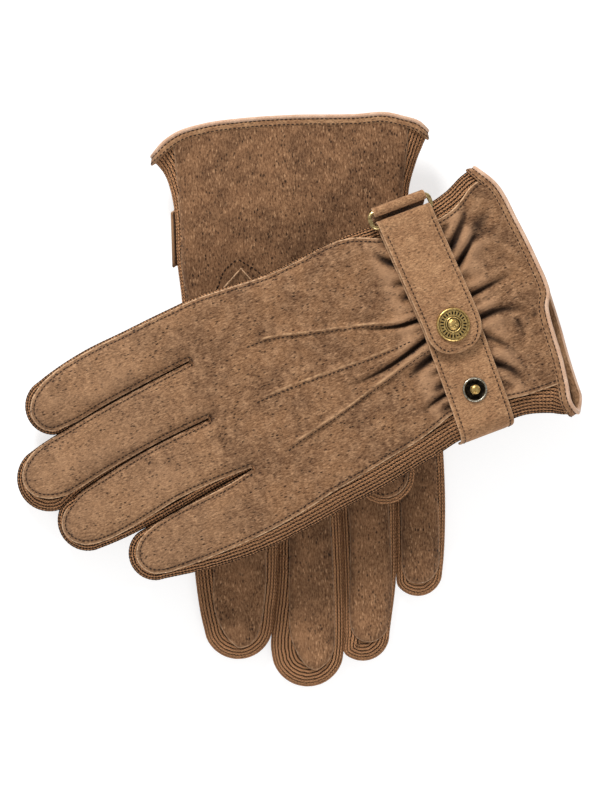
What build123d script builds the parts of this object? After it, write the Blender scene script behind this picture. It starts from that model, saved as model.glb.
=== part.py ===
from build123d import *
import os
from math import asin, atan2, cos, degrees, hypot, pi, radians, sin, sqrt

# A pair of men's driving gloves in suede leather and knit, laid flat one across the other.
# The right glove lies palm up on the surface, the left glove lies back up across it.
#
# Each glove is made in a flat glove frame: U from the cuff to the fingertips, W from the
# index side to the little-finger side, and a depth that is 0 on the palm's outer face and
# grows towards the back of the hand. The thumb has a negative depth, the strap a depth above
# the glove's thickness. Millimetres throughout.

# ---- the glove ------------------------------------------------------------------------
THICKNESS = 12.0          # palm face to back face, laid flat
LEATHER = 1.2             # thickness of the suede panels
KNIT = 1.6                # thickness of the knitted gussets
GAP = 0.3                 # clearance between soft parts that move on one another
TALL = 120.0              # more than any height, for cutting tools

BINDING_WIDTH = 3.2       # leather binding folded over the cuff's edge
BINDING_WALL = 1.2

ELASTIC_U, ELASTIC_WIDTH = 38.0, 9.0
ELASTIC_LENGTH, ELASTIC_THICKNESS = 92.0, 0.9

# ---- the thumb ------------------------------------------------------------------------
THUMB_THICKNESS = 7.0
THUMB_LEATHER = 1.0
THUMB_KNIT = 1.4
THUMB_BASE = (84.0, -25.0)
THUMB_BASE_R = 15.5
THUMB_TIP_R = 13.2         # each glove gives the place of its own thumb tip
THUMB_HOLE_R = 11.0       # the hole in the palm that the thumb is sewn into
QUIRK_APEX = (50.5, -24.0)
QUIRK_HALF_WIDTH = 14.0   # of the wedge sewn in at the thumb's wrist side

# ---- the strap, ring and snap fastener --------------------------------------------------
STRAP_U = 38.6            # centre line of the strap
STRAP_WIDTH = 24.6
STRAP_LEATHER = 1.2
STRAP_LIFT = 0.6          # from the glove's back to the underside of the strap
STRAP_SEWN_W = 51.0       # where the strap is sewn in, on the little-finger side
FLAP_END_W = 14.7         # rounded end of the flap
SNAP_W, SPARE_STUD_W = 2.4, 32.1

WIRE_R = 1.0
RING_LENGTH, RING_HEIGHT = 30.0, 8.8   # outside sizes, along U and W
INNER_BAR_W = -48.3
OUTER_BAR_W = INNER_BAR_W - (RING_HEIGHT - 2 * WIRE_R)
FOLD_R = 1.5              # inside of the strap's turn round the ring
KEEPER_R = 2.2            # outside of the leather loop that holds the ring
KEEPER_BORE_R = 1.08
KEEPER_WIDTH = 24.4
KEEPER_TAIL = 1.4
HINGE_W = -47.1

CAP_R, CAP_HEIGHT = 7.5, 2.5
SOCKET_R, SOCKET_BORE_R = 5.4, 2.25
SHANK_R = 1.45
STUD_FLANGE_R, STUD_FLANGE = 5.4, 0.55
STUD_RIM = 0.45
STUD_NECK_R, STUD_BALL_R = 1.75, 2.0
POST_R, POST_HEAD = 4.4, 0.4

STRAP_BOTTOM = THICKNESS + STRAP_LIFT
STRAP_TOP = STRAP_BOTTOM + STRAP_LEATHER
BAR_DEPTH = STRAP_TOP + FOLD_R
FLAP_BOTTOM = BAR_DEPTH + FOLD_R
FLAP_TOP = FLAP_BOTTOM + STRAP_LEATHER

# ---- how each glove is cut and how it lies ----------------------------------------------
# cuff: three points of the bowed cuff edge, index side first.
# sides: (U, W) down each edge of the hand, from the cuff corner to the finger.
# tips: (U, W, radius, heading) of each fingertip, index to little finger, and how far its rounding
# reaches either side of the heading before it meets its neighbour, all angles in degrees.
# slits: (U, W) from each crotch towards the fingertips.
# finger_lines: W of each finger's middle at its root, where the gussets meet.
# profile: (U, height) of the glove's lower face along its length, with rounded corners.
# ring_in: how far the ring and flap are drawn in over the back of the hand.
# keeper_tail: (W, depth) of the outer face of the leather that holds the ring.
LEFT = dict(
    name="left", back_up=True, turn=200.56, place=(101.00, 47.53),
    cuff=[(3.5, -58.5), (-8.0, 0.0), (-1.5, 57.5)],
    index_side=[(3.5, -58.5), (11, -56.6), (20, -52.7), (28, -50.6), (52, -50.2), (72, -49.9), (90, -48.1),
                (106, -46.8), (122, -47.5), (136, -48.1), (152, -47.0), (172, -45.1), (192, -43.2)],
    little_side=[(-1.5, 57.5), (5, 55.6), (11, 53.0), (20, 50.2), (36, 50.1), (52, 50.4), (64, 52.9),
                 (76, 55.2), (92, 58.1), (110, 60.4), (126, 62.8), (142, 64.7), (158, 65.2), (174, 64.2)],
    tips=[(212.4, -25.6, 12.4, 10, 90, 58), (225.3, 3.4, 14.2, 8, 90, 73),
          (215.9, 26.3, 13.2, 8, 50, 90), (193.1, 50.0, 11.7, 3, 90, 90)],
    slits=[
        [(150, -22.8), (170, -20.5), (190, -17.9), (206, -15.2)],
        [(151, 3.4), (170, 5.0), (190, 8.0), (204, 10.9), (214, 13.4)],
        [(141, 30.3), (160, 32.8), (178, 35.9)],
    ],
    finger_lines=[-36, -9, 17, 47], thumb_tip=(135.5, 46.2),
    profile=[(-16, 17.0), (66, 32.2), (158, 32.2), (262, -7.4)],
    ring_in=0.0, keeper_tail=[(-56.6, 14.6), (-52.2, 9.0), (-52.2, 2.5)],
)
RIGHT = dict(
    name="right", back_up=False, turn=-88.48, place=(-3.65, 113.39),
    cuff=[(5.5, -60.5), (-10.4, 0.0), (-2.5, 60.0)],
    index_side=[(5.5, -60.5), (13, -55.4), (22, -52.4), (28, -51.4), (52, -50.6), (69, -49.0), (90, -48.6),
                (110, -48.6), (130, -48.5), (152, -48.0), (172, -47.3), (190, -46.4)],
    little_side=[(-2.5, 60.0), (4, 57.4), (12, 54.3), (23, 51.1), (36, 50.5), (52, 50.7), (64, 53.0),
                 (80, 56.2), (96, 58.8), (112, 61.0), (128, 62.6), (146, 63.4), (166, 63.3)],
    tips=[(211.3, -28.3, 15.0, 4, 90, 90), (223.4, 1.7, 15.7, 0, 90, 90),
          (216.9, 26.0, 11.6, 0, 41, 90), (190.2, 50.8, 10.6, 0, 55, 90)],
    slits=[
        [(150, -9.5), (176, -9.7), (196, -10.4)],
        [(151, 17.4), (176, 18.0), (200, 18.2), (216, 18.0)],
        [(142, 42.2), (162, 42.0), (178, 41.8), (190, 41.4)],
    ],
    finger_lines=[-29, 4, 30, 47], thumb_tip=(147.0, 37.2),
    profile=[(-16, 18.0), (66, 5.3), (110, 5.3), (140, 0.0), (262, 0.0)],
    ring_in=5.6, keeper_tail=[(-49.6, 16.6), (-53.1, 12.5), (-53.1, 2.0)],
)
SLIT = 0.7                # clearance between neighbouring fingers
PROFILE_R = 55.0


def outer_tangents(base, base_r, tip, tip_r):
    """Where the two circles' outer tangents touch: low-W base, low-W tip, high-W tip, high-W base."""
    du, dw = tip[0] - base[0], tip[1] - base[1]
    along, lean = atan2(dw, du), asin((base_r - tip_r) / hypot(du, dw))
    points = []
    for side in (-1, 1):
        a = along + side * (pi / 2 - lean)
        points.append((base[0] + base_r * cos(a), base[1] + base_r * sin(a)))
        points.append((tip[0] + tip_r * cos(a), tip[1] + tip_r * sin(a)))
    return points[0], points[1], points[3], points[2]


def beyond_cuff(glove, inset):
    """Everything on the finger side of the cuff edge, that edge moved in by inset."""
    a, b, c = [(u + inset, w) for u, w in glove["cuff"]]
    return make_face([ThreePointArc(a, b, c), Polyline(c, (c[0], 95), (300, 95), (300, -95), (a[0], -95), a)])


def hand_face(glove, inset):
    """The hand's outline drawn in by inset, left open past the cuff for beyond_cuff to trim."""
    index_side = [(u, w + inset) for u, w in glove["index_side"]]
    little_side = [(u, w - inset) for u, w in glove["little_side"]]
    half = SLIT / 2 + inset
    curves = [Line((-30, index_side[0][1]), index_side[0])]
    before = index_side
    for i, (u, w, radius, heading, reach_low, reach_high) in enumerate(glove["tips"]):
        r = radius - inset
        turns = [radians(a) for a in (heading - reach_low, heading, heading + reach_high)]
        low, end, high = [(u + r * cos(a), w + r * sin(a)) for a in turns]
        curves.append(Spline(*before, low))
        curves.append(ThreePointArc(low, end, high))
        if i < 3:
            slit = glove["slits"][i]
            down = [(p, q - half) for p, q in reversed(slit)]
            before = [(p, q + half) for p, q in slit]
            curves.append(Spline(high, *down))
            crotch = slit[0]
            curves.append(ThreePointArc(down[-1], (crotch[0] - half, crotch[1]), before[0]))
        else:
            curves.append(Spline(high, *reversed(little_side)))
    curves.append(Line(little_side[0], (-30, little_side[0][1])))
    curves.append(Line((-30, little_side[0][1]), (-30, index_side[0][1])))
    return make_face(curves)


def tapered_face(base, base_r, tip, tip_r):
    """A round-ended tapered strip, as a thumb is seen from above."""
    lb, lt, rt, rb = outer_tangents(base, base_r, tip, tip_r)
    length = hypot(tip[0] - base[0], tip[1] - base[1])
    du, dw = (tip[0] - base[0]) / length, (tip[1] - base[1]) / length
    end = (tip[0] + tip_r * du, tip[1] + tip_r * dw)
    start = (base[0] - base_r * du, base[1] - base_r * dw)
    return make_face([Line(lb, lt), ThreePointArc(lt, end, rt), Line(rt, rb), ThreePointArc(rb, start, lb)])


def height(glove, depth):
    """A depth in the glove as a height above the glove's lower face."""
    return depth if glove["back_up"] else THICKNESS - depth


def slab(glove, depth_a, depth_b):
    """Everything between two depths of the glove, following the way it is draped."""
    low, high = sorted((height(glove, depth_a), height(glove, depth_b)))
    under = [(u, z + low) for u, z in glove["profile"]]
    over = [(u, z + high) for u, z in glove["profile"]]
    face = make_face([
        FilletPolyline(*under, radius=PROFILE_R), Line(under[-1], over[-1]),
        FilletPolyline(*over, radius=PROFILE_R), Line(over[0], under[0]),
    ])
    return extrude(Plane.XZ * face, amount=TALL, both=True)


def prism(face):
    """A face made into a column that reaches past every height."""
    return extrude(face, amount=TALL, both=True)


def layer(glove, face, depth_a, depth_b):
    return prism(face) & slab(glove, depth_a, depth_b)


def flat_layer(glove, face, depth_a, depth_b):
    """A level layer in the flat middle of the glove, where the thumb lies."""
    base_height = glove["profile"][1][1]
    low, high = sorted((height(glove, depth_a), height(glove, depth_b)))
    return Pos(0, 0, base_height + low) * extrude(face, amount=high - low)


# ---- the sewn shell of each glove ---------------------------------------------------------
def panels(glove):
    inner = hand_face(glove, KNIT) & beyond_cuff(glove, BINDING_WIDTH)
    back = layer(glove, inner, THICKNESS - LEATHER, THICKNESS)
    palm = layer(glove, inner, 0, LEATHER) - prism(Pos(*THUMB_BASE) * Circle(THUMB_HOLE_R))
    return {"back_panel": back, "palm_panel": palm}


def gussets(glove):
    """The knitted walls between palm and back: one down each side and a fourchette between fingers."""
    face = hand_face(glove, 0) & beyond_cuff(glove, BINDING_WIDTH)
    wall = layer(glove, face, 0, THICKNESS) - prism(hand_face(glove, KNIT))
    feet = [(140, w) for w in glove["finger_lines"]]
    ends = []
    for u, w, radius, heading, *reach in glove["tips"]:
        ends.append((u + 40 * cos(radians(heading)), w + 40 * sin(radians(heading))))
    names = ["index_middle_fourchette", "middle_ring_fourchette", "ring_little_fourchette"]
    tips = [(u, w) for u, w, *rest in glove["tips"]]
    made = {}
    for i, name in enumerate(names):
        region = [feet[i], tips[i], ends[i], ends[i + 1], tips[i + 1], feet[i + 1]]
        made[name] = wall & prism(make_face(Polyline(*region, close=True)))
    low = [(-40, -95), (ends[0][0], -95), ends[0], tips[0], feet[0], (-40, feet[0][1])]
    high = [(-40, 95), (ends[3][0], 95), ends[3], tips[3], feet[3], (-40, feet[3][1])]
    made["index_gusset"] = wall & prism(make_face(Polyline(*low, close=True)))
    made["little_gusset"] = wall & prism(make_face(Polyline(*high, close=True)))
    return made


def cuff_binding(glove):
    """The leather strip folded over the cuff's edge, all round its mouth."""
    strip = hand_face(glove, 0) & (beyond_cuff(glove, 0) - beyond_cuff(glove, BINDING_WIDTH))
    mouth = layer(glove, hand_face(glove, KNIT), BINDING_WALL, THICKNESS - BINDING_WALL)
    return {"cuff_binding": layer(glove, strip, 0, THICKNESS) - mouth}


def wrist_elastic(glove):
    face = Pos(ELASTIC_U, 0) * Rectangle(ELASTIC_WIDTH, ELASTIC_LENGTH)
    top = THICKNESS - LEATHER
    return {"wrist_elastic": layer(glove, face, top - ELASTIC_THICKNESS, top)}


# ---- the thumb, a separate tube sewn into the palm -----------------------------------------
def thumb(glove):
    tip = glove["thumb_tip"]
    outer = tapered_face(THUMB_BASE, THUMB_BASE_R, tip, THUMB_TIP_R)
    inner = tapered_face(THUMB_BASE, THUMB_BASE_R - THUMB_KNIT, tip, THUMB_TIP_R - THUMB_KNIT)
    near, far = -GAP, -GAP - THUMB_THICKNESS
    hole = Pos(*THUMB_BASE) * Circle(THUMB_HOLE_R)
    return {
        "thumb_back": flat_layer(glove, inner - hole, near - THUMB_LEATHER, near),
        "thumb_front": flat_layer(glove, inner, far, far + THUMB_LEATHER),
        "thumb_gusset": flat_layer(glove, outer - inner, far, near),
    }


def thumb_quirk(glove):
    """The small wedge sewn between thumb and palm on the wrist side."""
    u, w = QUIRK_APEX
    foot = THUMB_BASE[0] - 2
    wedge = Polyline((u, w), (foot, w - QUIRK_HALF_WIDTH), (foot, w + QUIRK_HALF_WIDTH), close=True)
    clear = THUMB_BASE_R + GAP
    face = make_face(wedge) - Pos(*THUMB_BASE) * Circle(clear)
    swept = Pos(THUMB_BASE[0], THUMB_BASE[1] + 20) * Rectangle(2 * clear, 40)
    return {"thumb_quirk": layer(glove, face - swept, -LEATHER, 0)}


# ---- the strap and its metal parts, level in their own frame -------------------------------
def across(face, length):
    """A section drawn in the (W, depth) plane, made into a bar along U and centred on the strap."""
    return Pos(STRAP_U, 0, 0) * extrude(Plane.YZ * face, amount=length / 2, both=True)


def strap(glove):
    half = STRAP_WIDTH / 2
    shift = glove["ring_in"]
    inner_bar, hinge_w = INNER_BAR_W + shift, HINGE_W + shift
    outside = STRAP_SEWN_W + STRAP_LEATHER
    section = Polyline(
        (inner_bar, STRAP_BOTTOM), (STRAP_SEWN_W, STRAP_BOTTOM), (STRAP_SEWN_W, 1.0), (outside, 1.0),
        (outside, STRAP_TOP), (inner_bar, STRAP_TOP), close=True)
    turn = Pos(inner_bar, BAR_DEPTH) * (Circle(FOLD_R + STRAP_LEATHER) - Circle(FOLD_R))
    turn = turn & Pos(inner_bar - 10, BAR_DEPTH) * Rectangle(20, 20)
    fold = Polyline(
        (inner_bar, FLAP_BOTTOM), (hinge_w - 0.2, FLAP_BOTTOM), (hinge_w - 0.2, FLAP_TOP),
        (inner_bar, FLAP_TOP), close=True)
    strap_base = across(make_face(section) + turn + make_face(fold), STRAP_WIDTH)
    for w in (SNAP_W + shift, SPARE_STUD_W + shift):
        strap_base -= Pos(STRAP_U, w, STRAP_BOTTOM) * Cylinder(SHANK_R + 0.05, 4)
    start, end = hinge_w + 0.2, FLAP_END_W + shift
    left, right = STRAP_U - half, STRAP_U + half
    plan = make_face([
        Polyline((left, end - half), (left, start), (right, start), (right, end - half)),
        ThreePointArc((right, end - half), (STRAP_U, end), (left, end - half)),
    ])
    flap = Pos(0, 0, FLAP_BOTTOM) * extrude(plan, amount=STRAP_LEATHER)
    flap -= Pos(STRAP_U, SNAP_W + shift, FLAP_BOTTOM) * Cylinder(SHANK_R + 0.05, 6)
    return {"strap_base": strap_base, "strap_flap": flap}


def keeper(glove):
    """The leather loop that holds the ring's outer bar, with its tail sewn to the glove's side."""
    centre = Pos(OUTER_BAR_W + glove["ring_in"], BAR_DEPTH)
    tail = glove["keeper_tail"]
    inside = [(w + KEEPER_TAIL, depth) for w, depth in reversed(tail)]
    strip = make_face(Polyline(*tail, *inside, close=True))
    section = centre * Circle(KEEPER_R) + strip - centre * Circle(KEEPER_BORE_R)
    return {"ring_keeper": across(section, KEEPER_WIDTH)}


def ring(glove):
    """A rectangular wire loop with round corners."""
    length, across_w = RING_LENGTH - 2 * WIRE_R, RING_HEIGHT - 2 * WIRE_R
    mid_w = (INNER_BAR_W + OUTER_BAR_W) / 2 + glove["ring_in"]
    path = Pos(STRAP_U, mid_w, BAR_DEPTH) * RectangleRounded(length, across_w, 2.2).wire()
    section = Plane(path @ 0, z_dir=path % 0) * Circle(WIRE_R)
    return {"ring": sweep(section, path=path)}


def turned(points, w):
    """A round part on the strap's centre line: (radius, depth) points turned about a line at w."""
    face = make_face(Plane.XZ * Polyline(*points, close=True))
    return Pos(STRAP_U, w, 0) * revolve(face, Axis.Z)


def snap(glove):
    snap_w, spare_w = SNAP_W + glove["ring_in"], SPARE_STUD_W + glove["ring_in"]
    brow = FLAP_TOP
    cap = turned([
        (0, FLAP_BOTTOM - 0.4), (SHANK_R, FLAP_BOTTOM - 0.4), (SHANK_R, brow), (CAP_R - 0.4, brow),
        (CAP_R, brow + 0.4), (CAP_R, brow + 0.9), (CAP_R - 0.9, brow + 1.5),
        (CAP_R * 0.55, brow + 2.0), (CAP_R * 0.5, brow + 1.8),
        (CAP_R * 0.4, brow + 1.8), (CAP_R * 0.34, brow + CAP_HEIGHT - 0.2), (0, brow + CAP_HEIGHT)], snap_w)
    mouth = STRAP_TOP + STUD_FLANGE + STUD_RIM + 0.15
    socket = turned([
        (SHANK_R + 0.03, FLAP_BOTTOM), (SOCKET_R, FLAP_BOTTOM), (SOCKET_R, mouth + 0.5),
        (SOCKET_R - 0.5, mouth), (SOCKET_BORE_R + 0.5, mouth), (SOCKET_BORE_R, mouth + 0.3), (SOCKET_BORE_R, FLAP_BOTTOM - 0.5),
        (SHANK_R + 0.03, FLAP_BOTTOM - 0.5)], snap_w)
    top = FLAP_BOTTOM - 0.6
    flange = STRAP_TOP + STUD_FLANGE
    stud_points = [
        (0, STRAP_TOP), (STUD_FLANGE_R, STRAP_TOP), (STUD_FLANGE_R, flange + STUD_RIM),
        (STUD_FLANGE_R - 0.6, flange + STUD_RIM), (STUD_FLANGE_R - 1.0, flange),
        (STUD_NECK_R, flange), (STUD_NECK_R, flange + 0.5), (STUD_BALL_R, flange + 0.9),
        (STUD_BALL_R, top - 0.5), (STUD_BALL_R - 0.6, top), (0, top)]
    post_points = [
        (0, STRAP_BOTTOM - POST_HEAD), (POST_R, STRAP_BOTTOM - POST_HEAD), (POST_R, STRAP_BOTTOM),
        (SHANK_R, STRAP_BOTTOM), (SHANK_R, STRAP_TOP), (0, STRAP_TOP)]
    places = (snap_w, spare_w)
    return {
        "snap_cap": cap,
        "snap_socket": socket,
        "snap_studs": Compound([turned(stud_points, w) for w in places]),
        "stud_posts": Compound([turned(post_points, w) for w in places]),
    }


def on_wrist(glove, solid):
    """Sets a strap part, made level, on the sloping wrist of its glove."""
    (u0, z0), (u1, z1) = glove["profile"][:2]
    slope = degrees(atan2(z1 - z0, u1 - u0))
    if glove["back_up"]:
        solid = Pos(0, 0, -THICKNESS) * solid
        face_height = z1 + THICKNESS
    else:
        solid = mirror(Pos(0, 0, -THICKNESS) * solid, about=Plane.XY)
        face_height = z1
    return Pos(u1, 0, face_height) * Rot(0, -slope, 0) * Pos(-u1, 0, 0) * solid


def whole_glove(glove):
    parts = {}
    for make in (panels, gussets, cuff_binding, wrist_elastic, thumb, thumb_quirk):
        parts.update(make(glove))
    for made in (strap(glove), keeper(glove), ring(glove), snap(glove)):
        parts.update({name: on_wrist(glove, solid) for name, solid in made.items()})
    place = Pos(*glove["place"]) * Rot(0, 0, glove["turn"])
    return {f"{glove['name']}_{name}": place * solid for name, solid in parts.items()}


def as_solids(shape):
    solids = shape.solids()
    return solids[0] if len(solids) == 1 else Compound(list(solids))


os.makedirs("parts", exist_ok=True)
low, high = [1e9] * 3, [-1e9] * 3
for glove in (LEFT, RIGHT):
    for name, shape in whole_glove(glove).items():
        shape = as_solids(shape)
        export_step(shape, f"parts/{name}.step")
        box = shape.bounding_box()
        low = [min(a, b) for a, b in zip(low, box.min)]
        high = [max(a, b) for a, b in zip(high, box.max)]
print("box", [round(v, 3) for v in low], [round(v, 3) for v in high])
print("centre", [round((a + b) / 2, 3) for a, b in zip(low, high)])
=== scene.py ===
import math
import bpy
import numpy as np
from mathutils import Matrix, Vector
from mathutils.geometry import delaunay_2d_cdt


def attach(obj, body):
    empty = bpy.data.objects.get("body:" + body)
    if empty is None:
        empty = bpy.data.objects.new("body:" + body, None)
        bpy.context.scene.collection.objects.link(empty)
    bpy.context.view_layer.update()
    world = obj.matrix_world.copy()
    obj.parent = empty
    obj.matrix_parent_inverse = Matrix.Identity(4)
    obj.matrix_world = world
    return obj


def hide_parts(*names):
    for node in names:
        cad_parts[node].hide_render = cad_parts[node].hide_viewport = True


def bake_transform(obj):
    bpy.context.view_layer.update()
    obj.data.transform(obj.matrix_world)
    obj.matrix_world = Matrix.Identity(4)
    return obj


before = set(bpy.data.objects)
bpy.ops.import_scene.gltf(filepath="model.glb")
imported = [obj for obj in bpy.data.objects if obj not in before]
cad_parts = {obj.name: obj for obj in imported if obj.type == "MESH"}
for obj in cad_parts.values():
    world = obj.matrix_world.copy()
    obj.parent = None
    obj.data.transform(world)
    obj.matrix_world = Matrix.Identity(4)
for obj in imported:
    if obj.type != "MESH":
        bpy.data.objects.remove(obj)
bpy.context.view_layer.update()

# A pair of suede driving gloves, the left one back up across the right one palm up.
# Each glove is shaped in its own flat frame in millimetres: U from cuff to fingertips, W from the
# index side to the little side, and depth, 0 on the palm's outer face, THICKNESS on the back's.
MM = 0.001
THICKNESS = 12.0
MIDDLE = THICKNESS / 2
EDGE_R = 8.0              # how far in from the silhouette the glove's rounded edge reaches
SLIT_HALF = 0.1           # half the gap between two fingers
FINGER_START = 12.0       # from the end of a slit to where its finger begins to bulge
LEATHER = 1.1
HIDDEN_INSET = 2.6        # from silhouette to leather on the faces that lie against something
SEAM_IN = 1.7             # from a leather edge to its stitches
CUFF_GAP = 1.3            # from the cuff's edge to the leather's edge inside the binding
KNIT_CUFF_GAP = 1.6       # from the cuff's edge to the knit's
CUFF_FLARE = 12.0         # how far from the cuff the knit bends to follow it
KNIT_HALF = 5.0           # from the glove's middle to the knit's outer face
KNIT_WALL = 1.0
KNIT_TUCK = 2.8           # how far the knit goes on under the leather
WALE = 1.55               # pitch of the knit's ribs
COURSE = 1.5              # pitch of its stitches along a rib
SLANT = 1.15              # how far a stitch leans back over half a rib, in stitches
TEXTURE_SPAN = 100.0      # millimetres to one unit of the texture coordinates

# Stitches: (pitch, length, radius).
SUEDE_STITCH = (1.95, 1.2, 0.27)
CUFF_STITCH = (1.95, 1.25, 0.25)
STRAP_STITCH = (1.9, 1.15, 0.26)

ELASTIC_W, ELASTIC_HALF_U, ELASTIC_HALF, ELASTIC_IN = (-44, 40), 4.5, 0.4, 3.4
STRAP_U, STRAP_HALF, STRAP_LEATHER, STRAP_SEAM_IN = 38.6, 12.6, 1.2, 2.0
STRIP_COLUMNS = 21                        # points across a strip of leather
STRAP_LAYER, FLAP_LAYER = 13.2, 17.2      # middle of each strap layer, as a depth
RING_U, INNER_BAR_W, OUTER_BAR_W, BAR_DEPTH, WIRE_R = 41.5, -48.3, -55.1, 15.3, 1.0
RING_HALF_U, RING_HALF_W, RING_CORNER_R = 14.0, 3.4, 2.4
FOLD_MIDDLE_R, KEEPER_MIDDLE_R, KEEPER_HALF, KEEPER_LEATHER = 2.1, 1.65, 12.3, 1.1
FLAP_BEND = (-47.2, -44.6)                # where the flap would bend to open, between these two W
FLAP_END_W, FLAP_ROUND = 14.7, 12.5       # its end, and how far back from it the rounding starts
SNAP_W, SPARE_STUD_W, STUD_BASE = 2.4, 32.1, 13.82
CAP_U, CAP_BASE = 37.9, 18.0
TICKS, TICK_RING_R, DOTS, DOT_RING_R = 24, 5.0, 5, 1.25

THUMB_BASE, THUMB_BASE_R, THUMB_TIP_R, THUMB_HALF = (84.0, -25.0), 15.5, 13.2, 3.5
THUMB_EDGE_R, THUMB_TOP = 6.5, -0.3       # its rounded edge, and the depth of its upper face

# The gloves' outlines. turn and place: where the flat frame lies. profile: (U, height) of the underside.
# tips: (U, W, radius, heading, degrees of arc on the low-W side, and on the high-W side).
# slits: from the end between the fingers outwards. Cuffs run from index to little side. Leather edges
# run round each finger in turn, None where the leather just follows the silhouette. ring_in: how much
# nearer the middle the ring and strap lie. keeper_tail: (W, depth) where the ring keeper is sewn down.
LEFT = dict(
    name="left", back_up=True, turn=200.56, place=(101.0, 47.53),
    thumb_tip=(135.5, 46.2), ring_in=0.0,
    profile=[(-16, 17.0), (66, 32.2), (158, 32.2), (262, -7.4)],
    index_side=[(3.5, -58.5), (11, -56.6), (20, -52.7), (28, -50.6), (52, -50.2), (72, -49.9), (90, -48.1),
        (106, -46.8), (122, -47.5), (136, -48.1), (152, -47.0), (172, -45.1), (192, -43.2)],
    little_side=[(-1.5, 57.5), (5, 55.6), (11, 53.0), (20, 50.2), (36, 50.1), (52, 50.4), (64, 52.9),
        (76, 55.2), (92, 58.1), (110, 60.4), (126, 62.8), (142, 64.7), (158, 65.2), (174, 64.2)],
    tips=[(212.4, -25.6, 12.4, 10, 90, 58), (225.3, 3.4, 14.2, 8, 90, 73), (215.9, 26.3, 13.2, 8, 50, 90),
        (193.1, 50.0, 11.7, 3, 90, 90)],
    slits=[
        [(150, -22.8), (170, -20.5), (190, -17.9), (206, -15.2)],
        [(151, 3.4), (170, 5.0), (190, 8.0), (204, 10.9), (214, 13.4)],
        [(141, 30.3), (160, 32.8), (178, 35.9)],
    ],
    back_cuff=[(3.5, -58.5), (-2, -50), (-5.5, -30), (-7.5, -10), (-8, 0), (-7.4, 5), (-4.9, 8.6),
        (-4.0, 13), (-3.2, 22), (-2.6, 32), (-1.0, 44), (0.2, 53), (-1.5, 57.5)],
    palm_cuff=[(3.5, -58.5), (-2, -50), (-5.5, -30), (-7.5, -10), (-8, 0), (-7.6, 10), (-7.0, 20),
        (-5.9, 32), (-5.2, 45), (-4.8, 52), (-1.5, 57.5)],
    keeper_tail=[(-54.4, 13.6), (-52.6, 9.0), (-51.6, 5.0)],
    back_edge=[
        [(-0.5, -52.8), (4, -52.5), (10, -50.5), (15, -47), (20, -44.5), (26, -43), (40, -43), (54, -44),
         (60, -46.5), (65, -48.3), (72, -49.2), (90, -47.4), (106, -46.1), (122, -46.8), (136, -47.4),
         (152, -46.3), (172, -44.4), (192, -42.4), (206, -39.6), (215, -35.8), (221, -30.5), (223, -25.5),
         (221.5, -19.5), (217, -15.6), (210, -15.3), (190, -18.3), (170, -20.9), (150, -23.2)],
        [(150, -22.5), (170, -20.1), (190, -17.4), (205, -15), (215, -13.2), (224, -11.5), (231, -8),
         (236, -2), (236.6, 3), (234, 8), (228, 11.6), (221, 12.8), (213, 11.6), (200, 9), (185, 6.6),
         (170, 4.7), (151, 3.0)],
        [(151, 3.8), (170, 5.5), (190, 8.3), (204, 11.2), (214, 13.4), (221, 17), (226, 21.5), (227.7, 27),
         (226, 31.5), (222, 35.2), (216, 37), (210, 37.2), (200, 36.1), (190, 34.2), (175, 31.3), (160, 30),
         (141, 29.7)],
        [(141, 30.6), (152, 33), (165, 34.6), (180, 36.4), (190, 38.6), (196, 41.2), (200, 45.2),
         (201.6, 49.5), (200.6, 54), (197.5, 57.6), (193, 59.3), (182, 60.0), (160, 59.5), (140, 57.8),
         (130, 56.2), (120, 54.1), (112, 52.2), (100, 50.2), (90, 48.2), (80, 46.3), (70, 44.5), (60, 41.7),
         (51, 38.7), (38, 39.5), (26, 41), (20, 42), (10, 42.5), (-0.6, 42.6)],
    ],
    palm_edge=None,
)
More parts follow.
